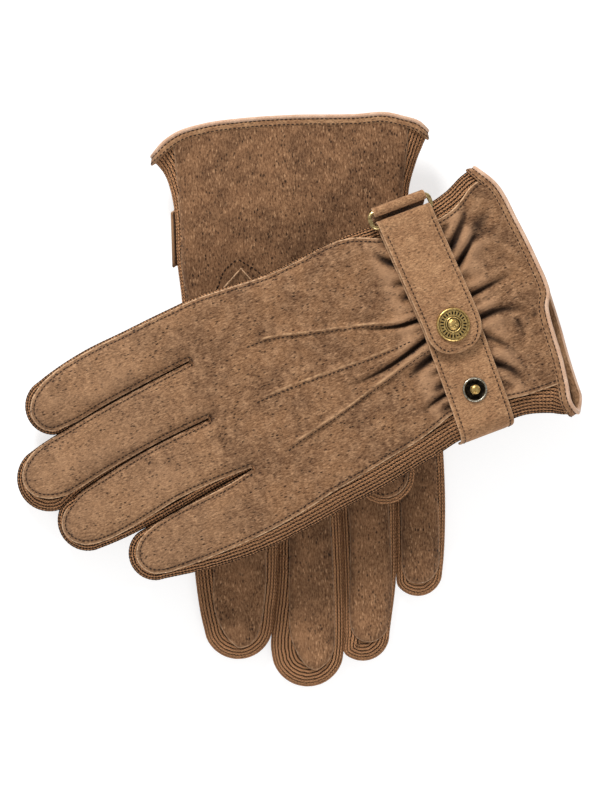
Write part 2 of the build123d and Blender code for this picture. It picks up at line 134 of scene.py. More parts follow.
RIGHT = dict(
    name="right", back_up=False, turn=-88.48, place=(-3.65, 113.39),
    thumb_tip=(147.0, 37.2), ring_in=5.6,
    profile=[(-16, 18.0), (66, 5.3), (110, 5.3), (140, 0.0), (262, 0.0)],
    index_side=[(5.5, -60.5), (13, -55.4), (22, -52.4), (28, -51.4), (52, -50.6), (69, -49.0), (90, -48.6),
        (110, -48.6), (130, -48.5), (152, -48.0), (172, -47.3), (190, -46.4)],
    little_side=[(-2.5, 60.0), (4, 57.4), (12, 54.3), (23, 51.1), (36, 50.5), (52, 50.7), (64, 53.0),
        (80, 56.2), (96, 58.8), (112, 61.0), (128, 62.6), (146, 63.4), (166, 63.3)],
    tips=[(211.3, -28.3, 15.0, 4, 90, 80), (223.4, 1.7, 15.7, 0, 90, 90), (216.9, 26.0, 11.6, 0, 41, 90),
        (190.2, 50.8, 10.6, 0, 55, 90)],
    slits=[
        [(150, -9.5), (176, -9.9), (196, -11.0), (208, -12.7)],
        [(151, 17.4), (176, 18.0), (200, 18.2), (216, 18.0)],
        [(142, 42.2), (162, 42.0), (178, 41.8), (190, 41.4)],
    ],
    back_cuff=[(5.5, -60.5), (0, -56), (-4, -50), (-7.5, -38), (-9.5, -20), (-10.3, 0), (-10, 30),
        (-10.5, 42), (-8.5, 50), (-6, 57), (-2.5, 60)],
    palm_cuff=None,       # as the back's
    keeper_tail=[(-49.6, 13.6), (-51.6, 9.0), (-52.4, 5.0)],
    back_edge=None,
    palm_edge=[
        [(-1.5, -52.5), (3, -51), (12, -50.2), (34, -49.3), (52, -49.1), (69, -47.4), (90, -47),
         (110, -46.8), (130, -46.3), (150, -44.8), (165, -42.3), (178, -39.8), (186, -38.7), (206, -38.2),
         (212, -36), (219, -31.5), (221.5, -28), (221, -25), (218, -21), (212, -18.5), (200, -16.2),
         (178, -15), (160, -13.2), (150, -10.6)],
        [(150, -8.4), (160, -6.3), (174, -5.3), (200, -5.8), (219, -5), (226, -2), (231, 2), (232, 5),
         (229.5, 9.5), (225, 12.7), (215, 14), (200, 14), (180, 13.8), (163, 13.6), (151, 16.2)],
        [(151, 18.6), (162, 20.8), (190, 21), (209, 20.4), (215, 21.2), (218.6, 23.5), (220.5, 28),
         (220, 31.5), (216, 36.5), (208, 39), (196, 39.5), (178, 39.3), (161, 39), (142, 41.2)],
        [(142, 43.2), (160, 43.9), (182, 43.9), (190, 44.2), (194.3, 46.8), (195.5, 51), (194, 56),
         (190, 59.3), (178, 60.5), (160, 60.6), (140, 60.3), (126, 59.6), (112, 58.4), (96, 56.3),
         (80, 53.6), (64, 50.4), (52, 48.2), (36, 48), (23, 48.6), (12, 50), (2, 51.3), (-7, 51.5)],
    ],
)
# Pin tucks on the back of the hand: (crest line, rise).
TUCKS = [
    ([(51, -7.6), (60, -7.2), (70, -10.4), (80, -13), (90, -15.2), (100, -17.5), (110, -20), (117, -21),
      (125, -21)], 1.1),
    ([(57, 1.6), (70, 2.6), (90, 2.6), (105, 2.4), (118, 2.5), (130, 3.0)], 0.55),
    ([(51, 8), (60, 10.2), (70, 13.2), (80, 16), (90, 19), (100, 21.5), (110, 23.8), (120, 26.2),
      (125, 28)], 1.25),
]
# Creases of the back of the hand: (points, half width, depth), deepest at the first point.
FOLDS = [
    ([(27.5, -20), (20, -26.3), (16, -29.6), (12.5, -33)], 1.25, 4.2),
    ([(12, -34), (7, -37), (3, -40)], 3.2, 1.7), ([(15, -29.5), (8, -30.4), (0, -30)], 1.5, 1.2),
    ([(26.5, -29), (19.5, -36), (15, -41), (12.8, -47)], 1.7, 3.0), ([(27, -37), (21.5, -40.5)], 1.3, 1.6),
    ([(27, -6.6), (15, -8.3), (2, -9.8)], 1.4, 2.7), ([(26, -2.5), (14, -3.5)], 1.3, 1.0),
    ([(27, 3.6), (16, 3.4), (10, 5), (3, 8.7)], 1.7, 3.0), ([(1.6, 10.5), (4.5, 11.5)], 1.0, 1.8),
    ([(10, 10.5), (9.6, 16), (10, 22)], 1.2, 1.6), ([(5, 11), (5.5, 15)], 1.0, 1.0),
    ([(27, 11), (19, 18), (13, 27)], 1.6, 1.9), ([(27, 24), (20, 29.5), (15.5, 38)], 1.6, 2.9),
    ([(27, 34), (21, 38)], 1.3, 1.3), ([(49.5, -30), (54.5, -33.5), (59, -40)], 1.8, 3.3),
    ([(49.5, -37), (54, -42)], 1.5, 1.7), ([(49.5, -22), (57, -22.6)], 1.3, 1.9),
    ([(49.5, -16), (56, -15.2)], 1.6, 2.4), ([(49.5, -4.6), (58, -5.2), (66, -7.0), (74, -9.4)], 1.0, 3.2),
    ([(49.5, 4.2), (60, 7.3), (70, 9.7), (80, 11.2), (92, 12.4)], 1.1, 3.6),
    ([(49.5, 12.2), (57.5, 14.5), (65, 18.5)], 1.9, 3.3), ([(49.5, 19), (56, 20)], 1.3, 1.4),
    ([(49.5, 25.5), (56, 26.5)], 1.8, 2.2), ([(49.5, 29.5), (57, 31), (65, 34.5)], 1.1, 2.8),
    ([(49.5, 35), (56, 36)], 1.6, 1.8), ([(150, -23), (147, -18), (144, -14.5)], 0.9, 0.7),
    ([(151, 3.4), (147.5, 2.2), (144, 0)], 0.8, 0.8), ([(151, 4.4), (148.5, 8.5), (146, 10.4)], 0.8, 0.6),
]
# Soft drag lines of the right palm, the same way.
DRAGS = [
    ([(-4, 18), (14, 34), (30, 50)], 3.0, 1.0), ([(-4, 30), (10, 42), (20, 51)], 2.2, 0.8),
    ([(4, -2), (30, 18), (52, 42)], 3.6, 0.9), ([(44, -20), (36, -30), (40, -42)], 3.0, 0.7),
    ([(62, -4), (50, 6), (44, 22)], 3.4, 0.8),
]


# Lines and fields in the glove's plane.
def running(line):
    """How far along a line each of its points is."""
    return np.concatenate([[0], np.cumsum(np.linalg.norm(np.diff(line, axis=0), axis=1))])


def closed(line):
    """The line with its first point again at its end."""
    return np.vstack([line, line[:1]])


def unit(vectors):
    return vectors / np.maximum(np.linalg.norm(vectors, axis=1), 1e-9)[:, None]


def spaced(line, step):
    """The line with its points moved to be evenly spaced, about step apart."""
    along = running(line)
    count = max(2, int(round(along[-1] / step)) + 1)
    at = np.linspace(0, along[-1], count)
    return np.stack([np.interp(at, along, axis) for axis in line.T], 1)


def curve_through(points, step):
    """A smooth line through the points, with its own points about step apart."""
    p = np.asarray(points, float)
    gap = np.linalg.norm(np.diff(p, axis=0), axis=1)[:, None]
    slope = np.diff(p, axis=0) / gap
    inner = (slope[:-1] * gap[1:] + slope[1:] * gap[:-1]) / (gap[:-1] + gap[1:])
    tangent = np.vstack([slope[:1], inner, slope[-1:]])
    made = []
    for a, b, ta, tb, g in zip(p[:-1], p[1:], tangent[:-1], tangent[1:], gap[:, 0]):
        t = np.linspace(0, 1, int(g / step) + 3, endpoint=False)[:, None]
        made.append((2 * t**3 - 3 * t**2 + 1) * a + (t**3 - 2 * t**2 + t) * g * ta
                    + (3 * t**2 - 2 * t**3) * b + (t**3 - t**2) * g * tb)
    return spaced(np.vstack(made + [p[-1:]]), step)


def arc(u, w, radius, heading, low=90, high=90, count=9):
    """Points round a fingertip, from its low-W side to its high-W side."""
    angles = np.radians(np.linspace(heading - low, heading + high, count))
    return [(u + radius * math.cos(a), w + radius * math.sin(a)) for a in angles]


def nearest(points, line, chunk=3000):
    """Distance of each point from a polyline, and how far along it the nearest place is, 0 to 1."""
    a, step = line[:-1], np.diff(line, axis=0)
    length2 = np.maximum((step**2).sum(1), 1e-12)
    before = np.concatenate([[0], np.cumsum(np.sqrt(length2))])
    away, along = np.empty(len(points)), np.empty(len(points))
    for i in range(0, len(points), chunk):
        p = points[i:i + chunk, None, :]
        t = np.clip(((p - a) * step).sum(2) / length2, 0, 1)
        d2 = ((a + t[..., None] * step - p)**2).sum(2)
        k = d2.argmin(1)
        row = np.arange(len(k))
        away[i:i + chunk] = np.sqrt(d2[row, k])
        along[i:i + chunk] = before[k] + t[row, k] * np.sqrt(length2[k])
    return away, along / before[-1]


def inside(points, ring, chunk=4000):
    """Which points are inside a closed ring."""
    a, b = ring, np.roll(ring, -1, 0)
    rise = np.where(b[:, 1] == a[:, 1], 1e-9, b[:, 1] - a[:, 1])
    found = np.zeros(len(points), bool)
    for i in range(0, len(points), chunk):
        p = points[i:i + chunk]
        cross = (a[:, 1] > p[:, 1:]) != (b[:, 1] > p[:, 1:])
        at = a[:, 0] + (p[:, 1:] - a[:, 1]) * (b[:, 0] - a[:, 0]) / rise
        found[i:i + chunk] = (cross & (p[:, :1] < at)).sum(1) % 2 == 1
    return found


def field(x, y, size, seed):
    """A smooth random field between -1 and 1 whose features are about size across."""
    table = np.random.RandomState(seed).uniform(-1, 1, (64, 64))
    i, j = np.floor(x / size).astype(int), np.floor(y / size).astype(int)
    f, g = x / size - i, y / size - j
    f, g = f * f * (3 - 2 * f), g * g * (3 - 2 * g)
    corner = [[table[(i + p) % 64, (j + q) % 64] for q in (0, 1)] for p in (0, 1)]
    return ((corner[0][0] * (1 - f) + corner[1][0] * f) * (1 - g)
            + (corner[0][1] * (1 - f) + corner[1][1] * f) * g)


def inward(line):
    """Unit vectors to the left of a line's direction, smoothed a little."""
    way = np.gradient(line, axis=0)
    left = np.stack([-way[:, 1], way[:, 0]], 1)
    for _ in range(2):
        left[1:-1] = (left[:-2] + 2 * left[1:-1] + left[2:]) / 4
    return unit(left)


def bump(x, width):
    """1 at 0, falling smoothly to nearly nothing at two widths."""
    return np.exp(-(x / width)**2)


def rounded(away, radius):
    """A rounded edge's height, 0 at the edge and 1 from radius inwards."""
    return np.sqrt(1 - (1 - np.clip(away / radius, 0, 1))**2)


def gathers(u, w):
    """Relief of the leather that the elastic draws together beside the strap."""
    beside = np.abs(u - STRAP_U) - STRAP_HALF
    near = beside > -3
    swell = 1.5 * bump(beside - 5.5, 5.0) * near - 1.3 * bump(u - STRAP_U, 10.5)
    return swell + 0.6 * field(u / 3.0, w, 3.6, 11) * bump(np.maximum(beside, 0), 9.0) * near


class Glove:
    """A glove's own frame, its outline, and the surfaces of its hand."""

    def __init__(self, data):
        vars(self).update(data)
        self.cuffs = {True: self.back_cuff, False: self.palm_cuff or self.back_cuff}
        self.edges = {True: self.back_edge, False: self.palm_edge}
        angle = math.radians(self.turn)
        self.cos, self.sin = math.cos(angle), math.sin(angle)
        self.steps = np.arange(-40, 280, 0.5)
        window = 29           # the steps that the bends of the profile are smoothed over
        rough = np.interp(self.steps, *zip(*self.profile))
        self.base = np.convolve(np.pad(rough, window // 2, mode="edge"), np.ones(window) / window, "valid")
        (u0, z0), (u1, z1) = self.profile[:2]
        self.slope, self.pivot = math.atan2(z1 - z0, u1 - u0), (u1, z1)
        sides = [self.index_side]
        for slit in self.slits:
            sides.append([(u, w - SLIT_HALF) for u, w in reversed(slit)])
            sides.append([(u, w + SLIT_HALF) for u, w in slit])
        sides.append(self.little_side[::-1])
        lines, self.tip_at, self.fingers = [], [], []
        for i, tip in enumerate(self.tips):
            line = curve_through(sides[2 * i] + arc(*tip) + sides[2 * i + 1], 0.55)
            u, w, radius, heading = tip[:4]
            heading = math.radians(heading)
            top = (u + radius * math.cos(heading), w + radius * math.sin(heading))
            self.tip_at.append(sum(map(len, lines)) + int(((line - top)**2).sum(1).argmin()))
            lines.append(line)
            root = self.slits[min(i, 2)][0][0] + FINGER_START
            self.fingers.append(np.array([(root, w - (u - root) * math.tan(heading) * 0.6), (u, w)]))
        self.outline = np.vstack(lines)
        self.coarse = spaced(self.outline, 1.6)

    def world(self, u, w, z):
        x, y = self.place
        return np.stack([x + self.cos * u - self.sin * w, y + self.sin * u + self.cos * w, z], -1) * MM

    def at(self, u, w, depth):
        """World places of points in the draped glove."""
        up = depth if self.back_up else THICKNESS - depth
        return self.world(u, w, np.interp(u, self.steps, self.base) + up)

    def on_wrist(self, u, w, depth):
        """World places of points in the level frame of the strap, set on the sloping wrist."""
        u1, z1 = self.pivot
        z = depth - THICKNESS if self.back_up else THICKNESS - depth
        c, s = math.cos(self.slope), math.sin(self.slope)
        level = z1 + THICKNESS if self.back_up else z1
        return self.world(u1 + (u - u1) * c - z * s, w, level + (u - u1) * s + z * c)

    def crown(self, uw):
        """0 at the silhouette, rising round the edge to 1 over the flat of the hand."""
        return rounded(nearest(uw, self.coarse)[0], EDGE_R)

    def puff(self, uw):
        """1 along the middle of each finger."""
        made = np.zeros(len(uw))
        for line in self.fingers:
            away, along = nearest(uw, line)
            made = np.maximum(made, bump(away, 9.5) * np.clip(along * 3, 0, 1))
        return made

    def skin(self, uw, back, edge=None):
        """(depth of the leather's outer face, its relief, and its painted shade in the folds and painted
        highlight on the tuck crests) on the back or on the palm.
        """
        u, w = uw.T
        crown = self.crown(uw)
        relief = 0.4 * field(u / 1.8, w, 11, 3) * crown + 0.2 * field(u / 1.6, w, 4.5, 4)
        relief += (0.9 if back == self.back_up else 0.2) * self.puff(uw)
        crease = np.zeros(len(uw))
        if back:
            relief += gathers(u, w)
            for line, rise in TUCKS:
                away, along = nearest(uw, curve_through(line, 2.0))
                uneven = 1 + 0.3 * field(u, 0 * u, 5, 7)
                run = np.clip(along * 12, 0, 1) * np.clip((1 - along) * 8, 0, 1) * uneven
                relief += rise * run * (bump(away, 0.95) - 0.35 * bump(away - 2.0, 0.9))
                # Painted highlight: a negative value lightens the tuck's crest.
                crease -= 0.9 * run * bump(away, 0.55)
        if back or not self.back_up:
            for line, width, depth in (FOLDS if back else DRAGS):
                away, along = nearest(uw, curve_through(line, 2.0))
                fade = depth * (1 - along**1.7)
                relief += fade * (0.3 * bump(away - 2.5 * width, 1.4 * width) - bump(away, width))
                # Painted shade: a positive value darkens the fold's valley.
                crease += (0.58 if back else 0.3) * fade * bump(away, width * 0.85)
        if back != self.back_up:      # the hidden face has no room for relief over the fingers
            relief = np.minimum(relief, 2 * np.clip((140 - u) / 30, 0, 1))
        hem = nearest(uw, np.array(self.cuffs[back], float))[0]
        relief *= np.clip((hem - 4) / 6, 0, 1)
        if edge is not None:
            if back:
                relief -= 0.42 * bump(edge - SEAM_IN, 0.5) * self.off_slits(uw) + 0.2 * bump(edge, 0.3)
            else:
                relief -= 0.7 * bump(edge, 0.9)
        half = MIDDLE * crown + relief * (0.35 + 0.65 * crown)
        return (MIDDLE + half if back else MIDDLE - half), relief, crease

    def off_slits(self, uw):
        """0 where a seam would run round the end of a slit, 1 elsewhere."""
        clear = np.ones(len(uw))
        for slit in self.slits:
            clear *= 1 - bump(np.linalg.norm(uw - slit[0] + (2.2, 0), axis=1), 2.0)
        return clear


# Making objects.
def link(name, data):
    made = bpy.data.objects.new(name, data)
    bpy.context.scene.collection.objects.link(made)
    return made


def make(name, points, faces, uv, materials, kinds=None, flat=0, **values):
    """An object from points in metres, faces, the last few flat, texture coordinates and point values."""
    mesh = bpy.data.meshes.new(name)
    mesh.from_pydata(points.tolist(), [], faces)
    mesh.update()
    layer = mesh.uv_layers.new(name="UVMap")
    loops = np.empty(len(mesh.loops), np.int32)
    mesh.loops.foreach_get("vertex_index", loops)
    layer.data.foreach_set("uv", (uv[loops] / TEXTURE_SPAN).astype(np.float32).ravel())
    for key, value in values.items():
        mesh.attributes.new(key, "FLOAT", "POINT").data.foreach_set("value", value.astype(np.float32))
    for material in materials:
        mesh.materials.append(material)
    if kinds is not None:
        mesh.polygons.foreach_set("material_index", np.asarray(kinds, np.int32))
    smooth = np.arange(len(mesh.polygons)) < len(mesh.polygons) - flat
    mesh.polygons.foreach_set("use_smooth", smooth)
    made = link(name, mesh)
    outward(mesh)
    return made


def outward(mesh):
    """Turns a closed mesh's faces to point outwards."""
    points = np.empty(len(mesh.vertices) * 3, np.float32)
    mesh.vertices.foreach_get("co", points)
    mesh.calc_loop_triangles()
    corners = np.empty(len(mesh.loop_triangles) * 3, np.int32)
    mesh.loop_triangles.foreach_get("vertices", corners)
    a, b, c = points.reshape(-1, 3)[corners.reshape(-1, 3)].transpose(1, 0, 2)
    middle = points.reshape(-1, 3).mean(0)
    if np.einsum("ij,ij->", a - middle, np.cross(b - middle, c - middle)) < 0:
        mesh.flip_normals()


def place(piece, body, slot, *nodes):
    """Puts a piece on its body, in place of its CAD nodes; slot, its material's name, is not used."""
    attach(piece, body)
    if nodes:
        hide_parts(*nodes)


def grid_faces(rows, columns, first=0, round_rows=False, round_columns=False):
    """Quads over a grid of points, joined round to its first row or column if asked."""
    made = []
    for i in range(rows if round_rows else rows - 1):
        a, b = first + i * columns, first + (i + 1) % rows * columns
        for j in range(columns if round_columns else columns - 1):
            k = (j + 1) % columns
            made.append((a + j, a + k, b + k, b + j))
    return made


def capped_tube(rows, columns):
    """Faces over a stack of rings, closed at both ends."""
    ends = [tuple(range(columns))[::-1], tuple(range((rows - 1) * columns, rows * columns))]
    return grid_faces(rows, columns, round_columns=True) + ends


def lathe(profile, sides):
    """(points, faces) of a profile of (radius, height) turned about Z, closed on its axis at both ends."""
    turns = [k * math.tau / sides for k in range(sides)]
    points = [(r * math.cos(t), r * math.sin(t), h) for r, h in profile[1:-1] for t in turns]
    points = [(0.0, 0.0, profile[0][1])] + points + [(0.0, 0.0, profile[-1][1])]
    rings = len(profile) - 2
    last = 1 + (rings - 1) * sides
    faces = [(0, 1 + (k + 1) % sides, 1 + k) for k in range(sides)]
    faces += grid_faces(rings, sides, 1, round_columns=True)
    faces += [(last + k, last + (k + 1) % sides, last + sides) for k in range(sides)]
    return np.array(points), faces


def copied(faces, size, count, first=0):
    """The faces of several copies of a shape that has size points."""
    return [tuple(first + i * size + v for v in f) for i in range(count) for f in faces]


def leather_ring(glove, back):
    """The closed outline of a leather panel, and its part along the fingers and the sides."""
    if glove.edges[back] is None:
        line = glove.outline + inward(glove.outline) * HIDDEN_INSET
        keep = nearest(line, glove.coarse)[0] > HIDDEN_INSET - 0.35
        line = spaced(line[keep], 0.9)
    else:
        line = np.vstack([curve_through(piece, 0.7) for piece in glove.edges[back]])
    mouth = curve_through(glove.cuffs[back], 0.8) + (CUFF_GAP, 0)
    mouth = mouth[(mouth[:, 1] > line[0, 1] + 0.6) & (mouth[:, 1] < line[-1, 1] - 0.6)][::-1]
    ring = np.vstack([line, mouth])
    gap = np.linalg.norm(ring - np.roll(ring, 1, 0), axis=1)
    return ring[gap > 0.15], line


def panel(name, put, skin, back, ring, spacing, material):
    """A sheet of suede over one face of the glove, cut to the ring."""
    (u0, w0), (u1, w1) = ring.min(0), ring.max(0)
    rows, columns = np.arange(w0, w1, spacing * 0.87), np.arange(u0, u1, spacing)
    grid = np.array([(u + spacing / 2 * (i % 2), w) for i, w in enumerate(rows) for u in columns])
    grid = grid[inside(grid, ring)]
    grid = grid[nearest(grid, closed(ring))[0] > spacing * 0.45]
    flat = [Vector(p) for p in np.vstack([ring, grid]).tolist()]
    verts, _, faces, *_ = delaunay_2d_cdt(flat, [], [list(range(len(ring)))], 1, 1e-5)
    uw = np.array([tuple(v) for v in verts])
    edge = nearest(uw, closed(ring))[0]
    depth, relief, crease = skin(uw, back, edge)
    inner = depth - LEATHER if back else depth + LEATHER
    points = np.vstack([put(*uw.T, depth), put(*uw.T, inner)])
    n = len(uw)
    pairs = dict.fromkeys(pair for f in faces for pair in zip(f, f[1:] + f[:1]))
    sides = [(b, a, a + n, b + n) for a, b in pairs if (b, a) not in pairs]
    under = [tuple(n + v for v in reversed(f)) for f in faces]
    return make(name, points, [tuple(f) for f in faces] + under + sides, np.vstack([uw, uw + 37]), [material],
                flat=len(sides), edge=np.append(edge, np.full(n, -1.0)), rise=np.tile(relief, 2),
                crease=np.tile(crease, 2))


def section_table(half, radius, reach=26.0):
    """The glove's rounded side: (distance round it, inset, height above the middle), 0 at the silhouette."""
    angle = np.linspace(0, math.pi / 2, 40)
    inset = np.append(radius * (1 - np.cos(angle)), radius + reach)
    rise = np.append(half * np.sin(angle), half)
    run = running(np.column_stack([inset, rise]))
    return [np.concatenate([sign * line[:0:-1], line]) for line, sign in ((run, -1), (inset, 1), (rise, -1))]


def knit_strip(name, put, line, normals, run0, reach_palm, reach_back, middle, half, radius, cuffs, material,
               columns):
    """A knitted gusset along a stretch of the outline, tucked under the leather on both faces."""
    run, inset, rise = section_table(half, radius)
    out = slice(len(inset) // 2, None)
    low, high = -np.interp(reach_palm, inset[out], run[out]), np.interp(reach_back, inset[out], run[out])
    across = low[:, None] + (high - low)[:, None] * np.linspace(0, 1, columns)
    near = 0.05
    (d, ahead_d, behind_d), (z, ahead_z, behind_z) = (
        [np.interp(across + step, run, table) for step in (0, near, -near)] for table in (inset, rise))
    slope_d, slope_z = ahead_d - behind_d, ahead_z - behind_z
    size = np.maximum(np.hypot(slope_d, slope_z), 1e-9)
    along = run0 + running(line)
    s = np.broadcast_to(along[:, None], across.shape)
    leg = np.abs((across / WALE) % 1 * 2 - 1)
    stitch = np.sin(math.tau * (s / COURSE + SLANT * leg))
    proud = 0.20 * (1 - 2 * leg**2) + 0.07 * stitch * (1 - leg**2)
    layers = []
    for offset in (proud, -KNIT_WALL):
        in_from_edge, up = d - slope_z / size * offset, z + slope_d / size * offset
        u = line[:, :1] + normals[:, :1] * in_from_edge
        w = line[:, 1:] + normals[:, 1:] * in_from_edge
        for row, cuff, fade in cuffs:
            shift = np.interp(w[row], cuff[:, 1], cuff[:, 0]) - u[row]
            u = u + shift * np.clip(1 - np.abs(along - along[row])[:, None] / fade, 0, 1)
        layers.append(put(u.ravel(), w.ravel(), (middle + up).ravel()))
    rows = len(line)
    n = rows * columns
    faces = grid_faces(rows, columns)
    faces += [tuple(reversed(f)) for f in grid_faces(rows, columns, n)]
    index = np.arange(n).reshape(rows, columns)
    rim = np.concatenate([index[:, 0], index[-1, 1:], index[-2::-1, -1], index[0, -2:0:-1]]).tolist()
    faces += [(a, b, b + n, a + n) for a, b in zip(rim, rim[1:] + rim[:1])]
    uv = np.stack([s.ravel(), across.ravel()], 1)
    return make(name, np.vstack(layers), faces, np.vstack([uv, uv]), [material])


STITCH, STITCH_FACES = lathe([(0, -0.5), (0.6, -0.47), (1, -0.33), (1, 0.33), (0.6, 0.47), (0, 0.5)], 6)


def stitches_along(line, ups, pitch, length, radius):
    """The points of each stitch along a world line, all in metres, with ups the line's surface normals."""
    run = running(line)
    made = []
    for t in np.arange(0.5 * pitch, run[-1] - 0.5 * pitch, pitch):
        ends = (t - length / 2, t + length / 2)
        a, b = np.column_stack([np.interp(ends, run, axis) for axis in line.T])
        size = np.linalg.norm(b - a)
        if size < 0.5 * length:
            continue
        x = (b - a) / size
        y = np.cross(ups[min(len(ups) - 1, int(np.searchsorted(run, t)))], x)
        y /= max(np.linalg.norm(y), 1e-9)
        across = STITCH[:, :1] * y + STITCH[:, 1:2] * np.cross(x, y)
        made.append((a + b) / 2 + STITCH[:, 2:] * size * x + radius * across)
    return made


def stitching(name, rows, body, looks, slot, size=SUEDE_STITCH):
    """One object of all the stitches along several rows, each (world line, its normals or the only one)."""
    made = [stitch for line, ups in rows for stitch in stitches_along(line, ups, *(v * MM for v in size))]
    cloud = np.vstack(made)
    faces = copied(STITCH_FACES, len(STITCH), len(made))
    place(make(name, cloud, faces, cloud[:, :2] / MM, [looks["thread"]]), body, slot)


def up_of(glove, back):
    """The world normal of the back or the palm of a flat glove, as a list of one."""
    return [(0, 0, 1.0 if back == glove.back_up else -1.0)]


def on_skin(glove, uw, back, edge=None, lift=0.1):
    """World places of a line of stitches on the leather."""
    depth = glove.skin(uw, back, edge)[0]
    return glove.at(*uw.T, depth + lift if back else depth - lift)


def world_normals(put, places, normals):
    """Local normals turned into world ones by the function that puts local points into the world."""
    return unit(put(*(places + normals * 0.01).T) - put(*places.T))


GUSSETS = ["index_gusset", "index_middle_fourchette", "middle_ring_fourchette", "ring_little_fourchette",
           "little_gusset"]


def back_seams(glove, ring, line):
    """Rows of stitches round the fingers and beside the pin tucks of the back."""
    seam = line + inward(line) * SEAM_IN
    good = (nearest(seam, closed(ring))[0] > SEAM_IN - 0.3) & (glove.off_slits(seam) > 0.5)
    lines = []
    for run in np.split(np.arange(len(seam)), np.flatnonzero(np.diff(good.astype(int))) + 1):
        if good[run[0]] and len(run) > 6:
            lines.append(on_skin(glove, seam[run], True, np.full(len(run), SEAM_IN)))
    for tuck, _ in TUCKS:
        tuck = curve_through(tuck, 0.8)
        lines.append(on_skin(glove, tuck + inward(tuck) * 1.2, True, lift=0.0))
    return [(line, up_of(glove, True)) for line in lines]


def shell(glove, looks):
    """The leather of the hand with its stitches, and the knit between back and palm."""
    body = glove.name + "_glove"
    outline, reach = glove.outline, {}
    for back, side in ((True, "back"), (False, "palm")):
        ring, line = leather_ring(glove, back)
        label = f"{glove.name}_{side}_panel"
        spacing = 0.8 if back == glove.back_up else 2.0
        sheet = panel(label + "_suede", glove.at, glove.skin, back, ring, spacing, looks[side])
        place(sheet, body, "suede_leather", label)
        reach[back] = nearest(outline, closed(ring))[0] + KNIT_TUCK
        if back:
            stitching(label + "_stitches", back_seams(glove, ring, line), body, looks, "suede_leather")
    normals, total = inward(outline), running(outline)
    cuts = [0] + glove.tip_at + [len(outline) - 1]
    cuff = curve_through(glove.back_cuff, 1.0) + (KNIT_CUFF_GAP, 0)
    cuff = cuff[np.argsort(cuff[:, 1])]
    for i, name in enumerate(GUSSETS):
        a, b = cuts[i], cuts[i + 1] + 1
        at_cuff = {0: 0, len(GUSSETS) - 1: b - a - 1}
        cuffs = [(at_cuff[i], cuff, CUFF_FLARE)] if i in at_cuff else []
        wide = max(reach[True][a:b].max(), reach[False][a:b].max())
        strip = knit_strip(f"{glove.name}_{name}_knit", glove.at, outline[a:b], normals[a:b], total[a],
                           reach[False][a:b], reach[True][a:b], MIDDLE, KNIT_HALF, EDGE_R, cuffs,
                           looks["knit"], int(44 + 2.2 * wide))
        place(strip, body, "knit", f"{glove.name}_{name}")


# The cuff binding's section: (inwards from the cuff's edge, outwards from the leather), and its seams.
BINDING = [(4.9, 0.15), (4.8, 0.55), (4.2, 0.72), (3.4, 0.75), (2.5, 0.55), (1.8, 0.2), (1.55, 0.6),
           (1.2, 0.9), (0.8, 1.0), (0.35, 0.8), (0.05, 0.4), (0.0, -0.1), (0.05, -0.6), (0.35, -1.1),
           (1.0, -1.4), (2.2, -1.45), (4.0, -1.4), (4.1, -1.15)]
BINDING_FOLD = 1.8        # how far in the pale folded edge reaches
BINDING_SEAMS = ((1.95, 0.35), (4.2, 0.75))


def binding(glove, looks):
    """The leather strip folded over both edges of the cuff, one closed loop round the mouth."""
    body, slot = glove.name + "_glove", "binding_leather"
    halves = []
    for back in (True, False):
        line = curve_through(glove.cuffs[back], 1.2)[::1 if back else -1]
        rise = (MIDDLE - 0.45) * glove.crown(line)
        halves.append(np.column_stack([line, MIDDLE + rise if back else MIDDLE - rise])[:-1])
    loop = spaced(closed(np.vstack(halves)), 1.0)[:-1]
    for _ in range(3):
        loop = (np.roll(loop, 1, 0) + 2 * loop + np.roll(loop, -1, 0)) / 4
    way = unit(np.roll(loop, -1, 0) - np.roll(loop, 1, 0))
    inwards = unit(np.array([1.0, 0, 0]) - way * way[:, :1])
    out = np.cross(inwards, way)
    section = np.array(BINDING)
    rings = loop[:, None] + inwards[:, None] * section[:, :1] + out[:, None] * section[:, 1:]
    n, m = rings.shape[:2]
    uv = np.stack(np.broadcast_arrays(np.arange(n)[:, None], running(section)), -1).reshape(-1, 2)
    hem = np.maximum(section[:, 0], np.roll(section[:, 0], -1)) > BINDING_FOLD
    faces = grid_faces(n, m, round_rows=True, round_columns=True)
    piece = make(f"{glove.name}_cuff_binding_strip", glove.at(*rings.reshape(-1, 3).T), faces, uv,
                 [looks["binding"], looks["hem"]], np.tile(hem, n), **away_from_edges(np.full(n * m, 5.0)))
    place(piece, body, slot, f"{glove.name}_cuff_binding")
    rows = []
    for x, y in BINDING_SEAMS:
        line = closed(loop + inwards * x + out * y)
        rows.append((glove.at(*line.T), world_normals(glove.at, loop, out)))
    stitching(f"{glove.name}_cuff_stitches", rows, body, looks, slot, CUFF_STITCH)


def away_from_edges(edge):
    """The point values of leather with no relief."""
    return dict(edge=edge, rise=np.zeros(len(edge)), crease=np.zeros(len(edge)))


def elastic(glove, looks):
    """The gathered elastic band sewn inside the back of the wrist."""
    w = np.linspace(*ELASTIC_W, 120)
    crown = glove.crown(np.column_stack([np.full(len(w), STRAP_U), w]))
    middle = MIDDLE + MIDDLE * crown - ELASTIC_IN + 0.25 * np.sin(w * 2.4)
    top = [(u, ELASTIC_HALF) for u in np.arange(-ELASTIC_HALF_U, ELASTIC_HALF_U + 0.5)]
    section = [(-ELASTIC_HALF_U, -ELASTIC_HALF)] + top + [(ELASTIC_HALF_U, -ELASTIC_HALF)]
    flat = np.array([(STRAP_U + u, a, b + rise) for a, b in zip(w, middle) for u, rise in section])
    piece = make(f"{glove.name}_wrist_elastic_band", glove.at(*flat.T), capped_tube(len(w), len(section)),
                 flat[:, :2], [looks["elastic"]])
    place(piece, glove.name + "_glove", "elastic", f"{glove.name}_wrist_elastic")


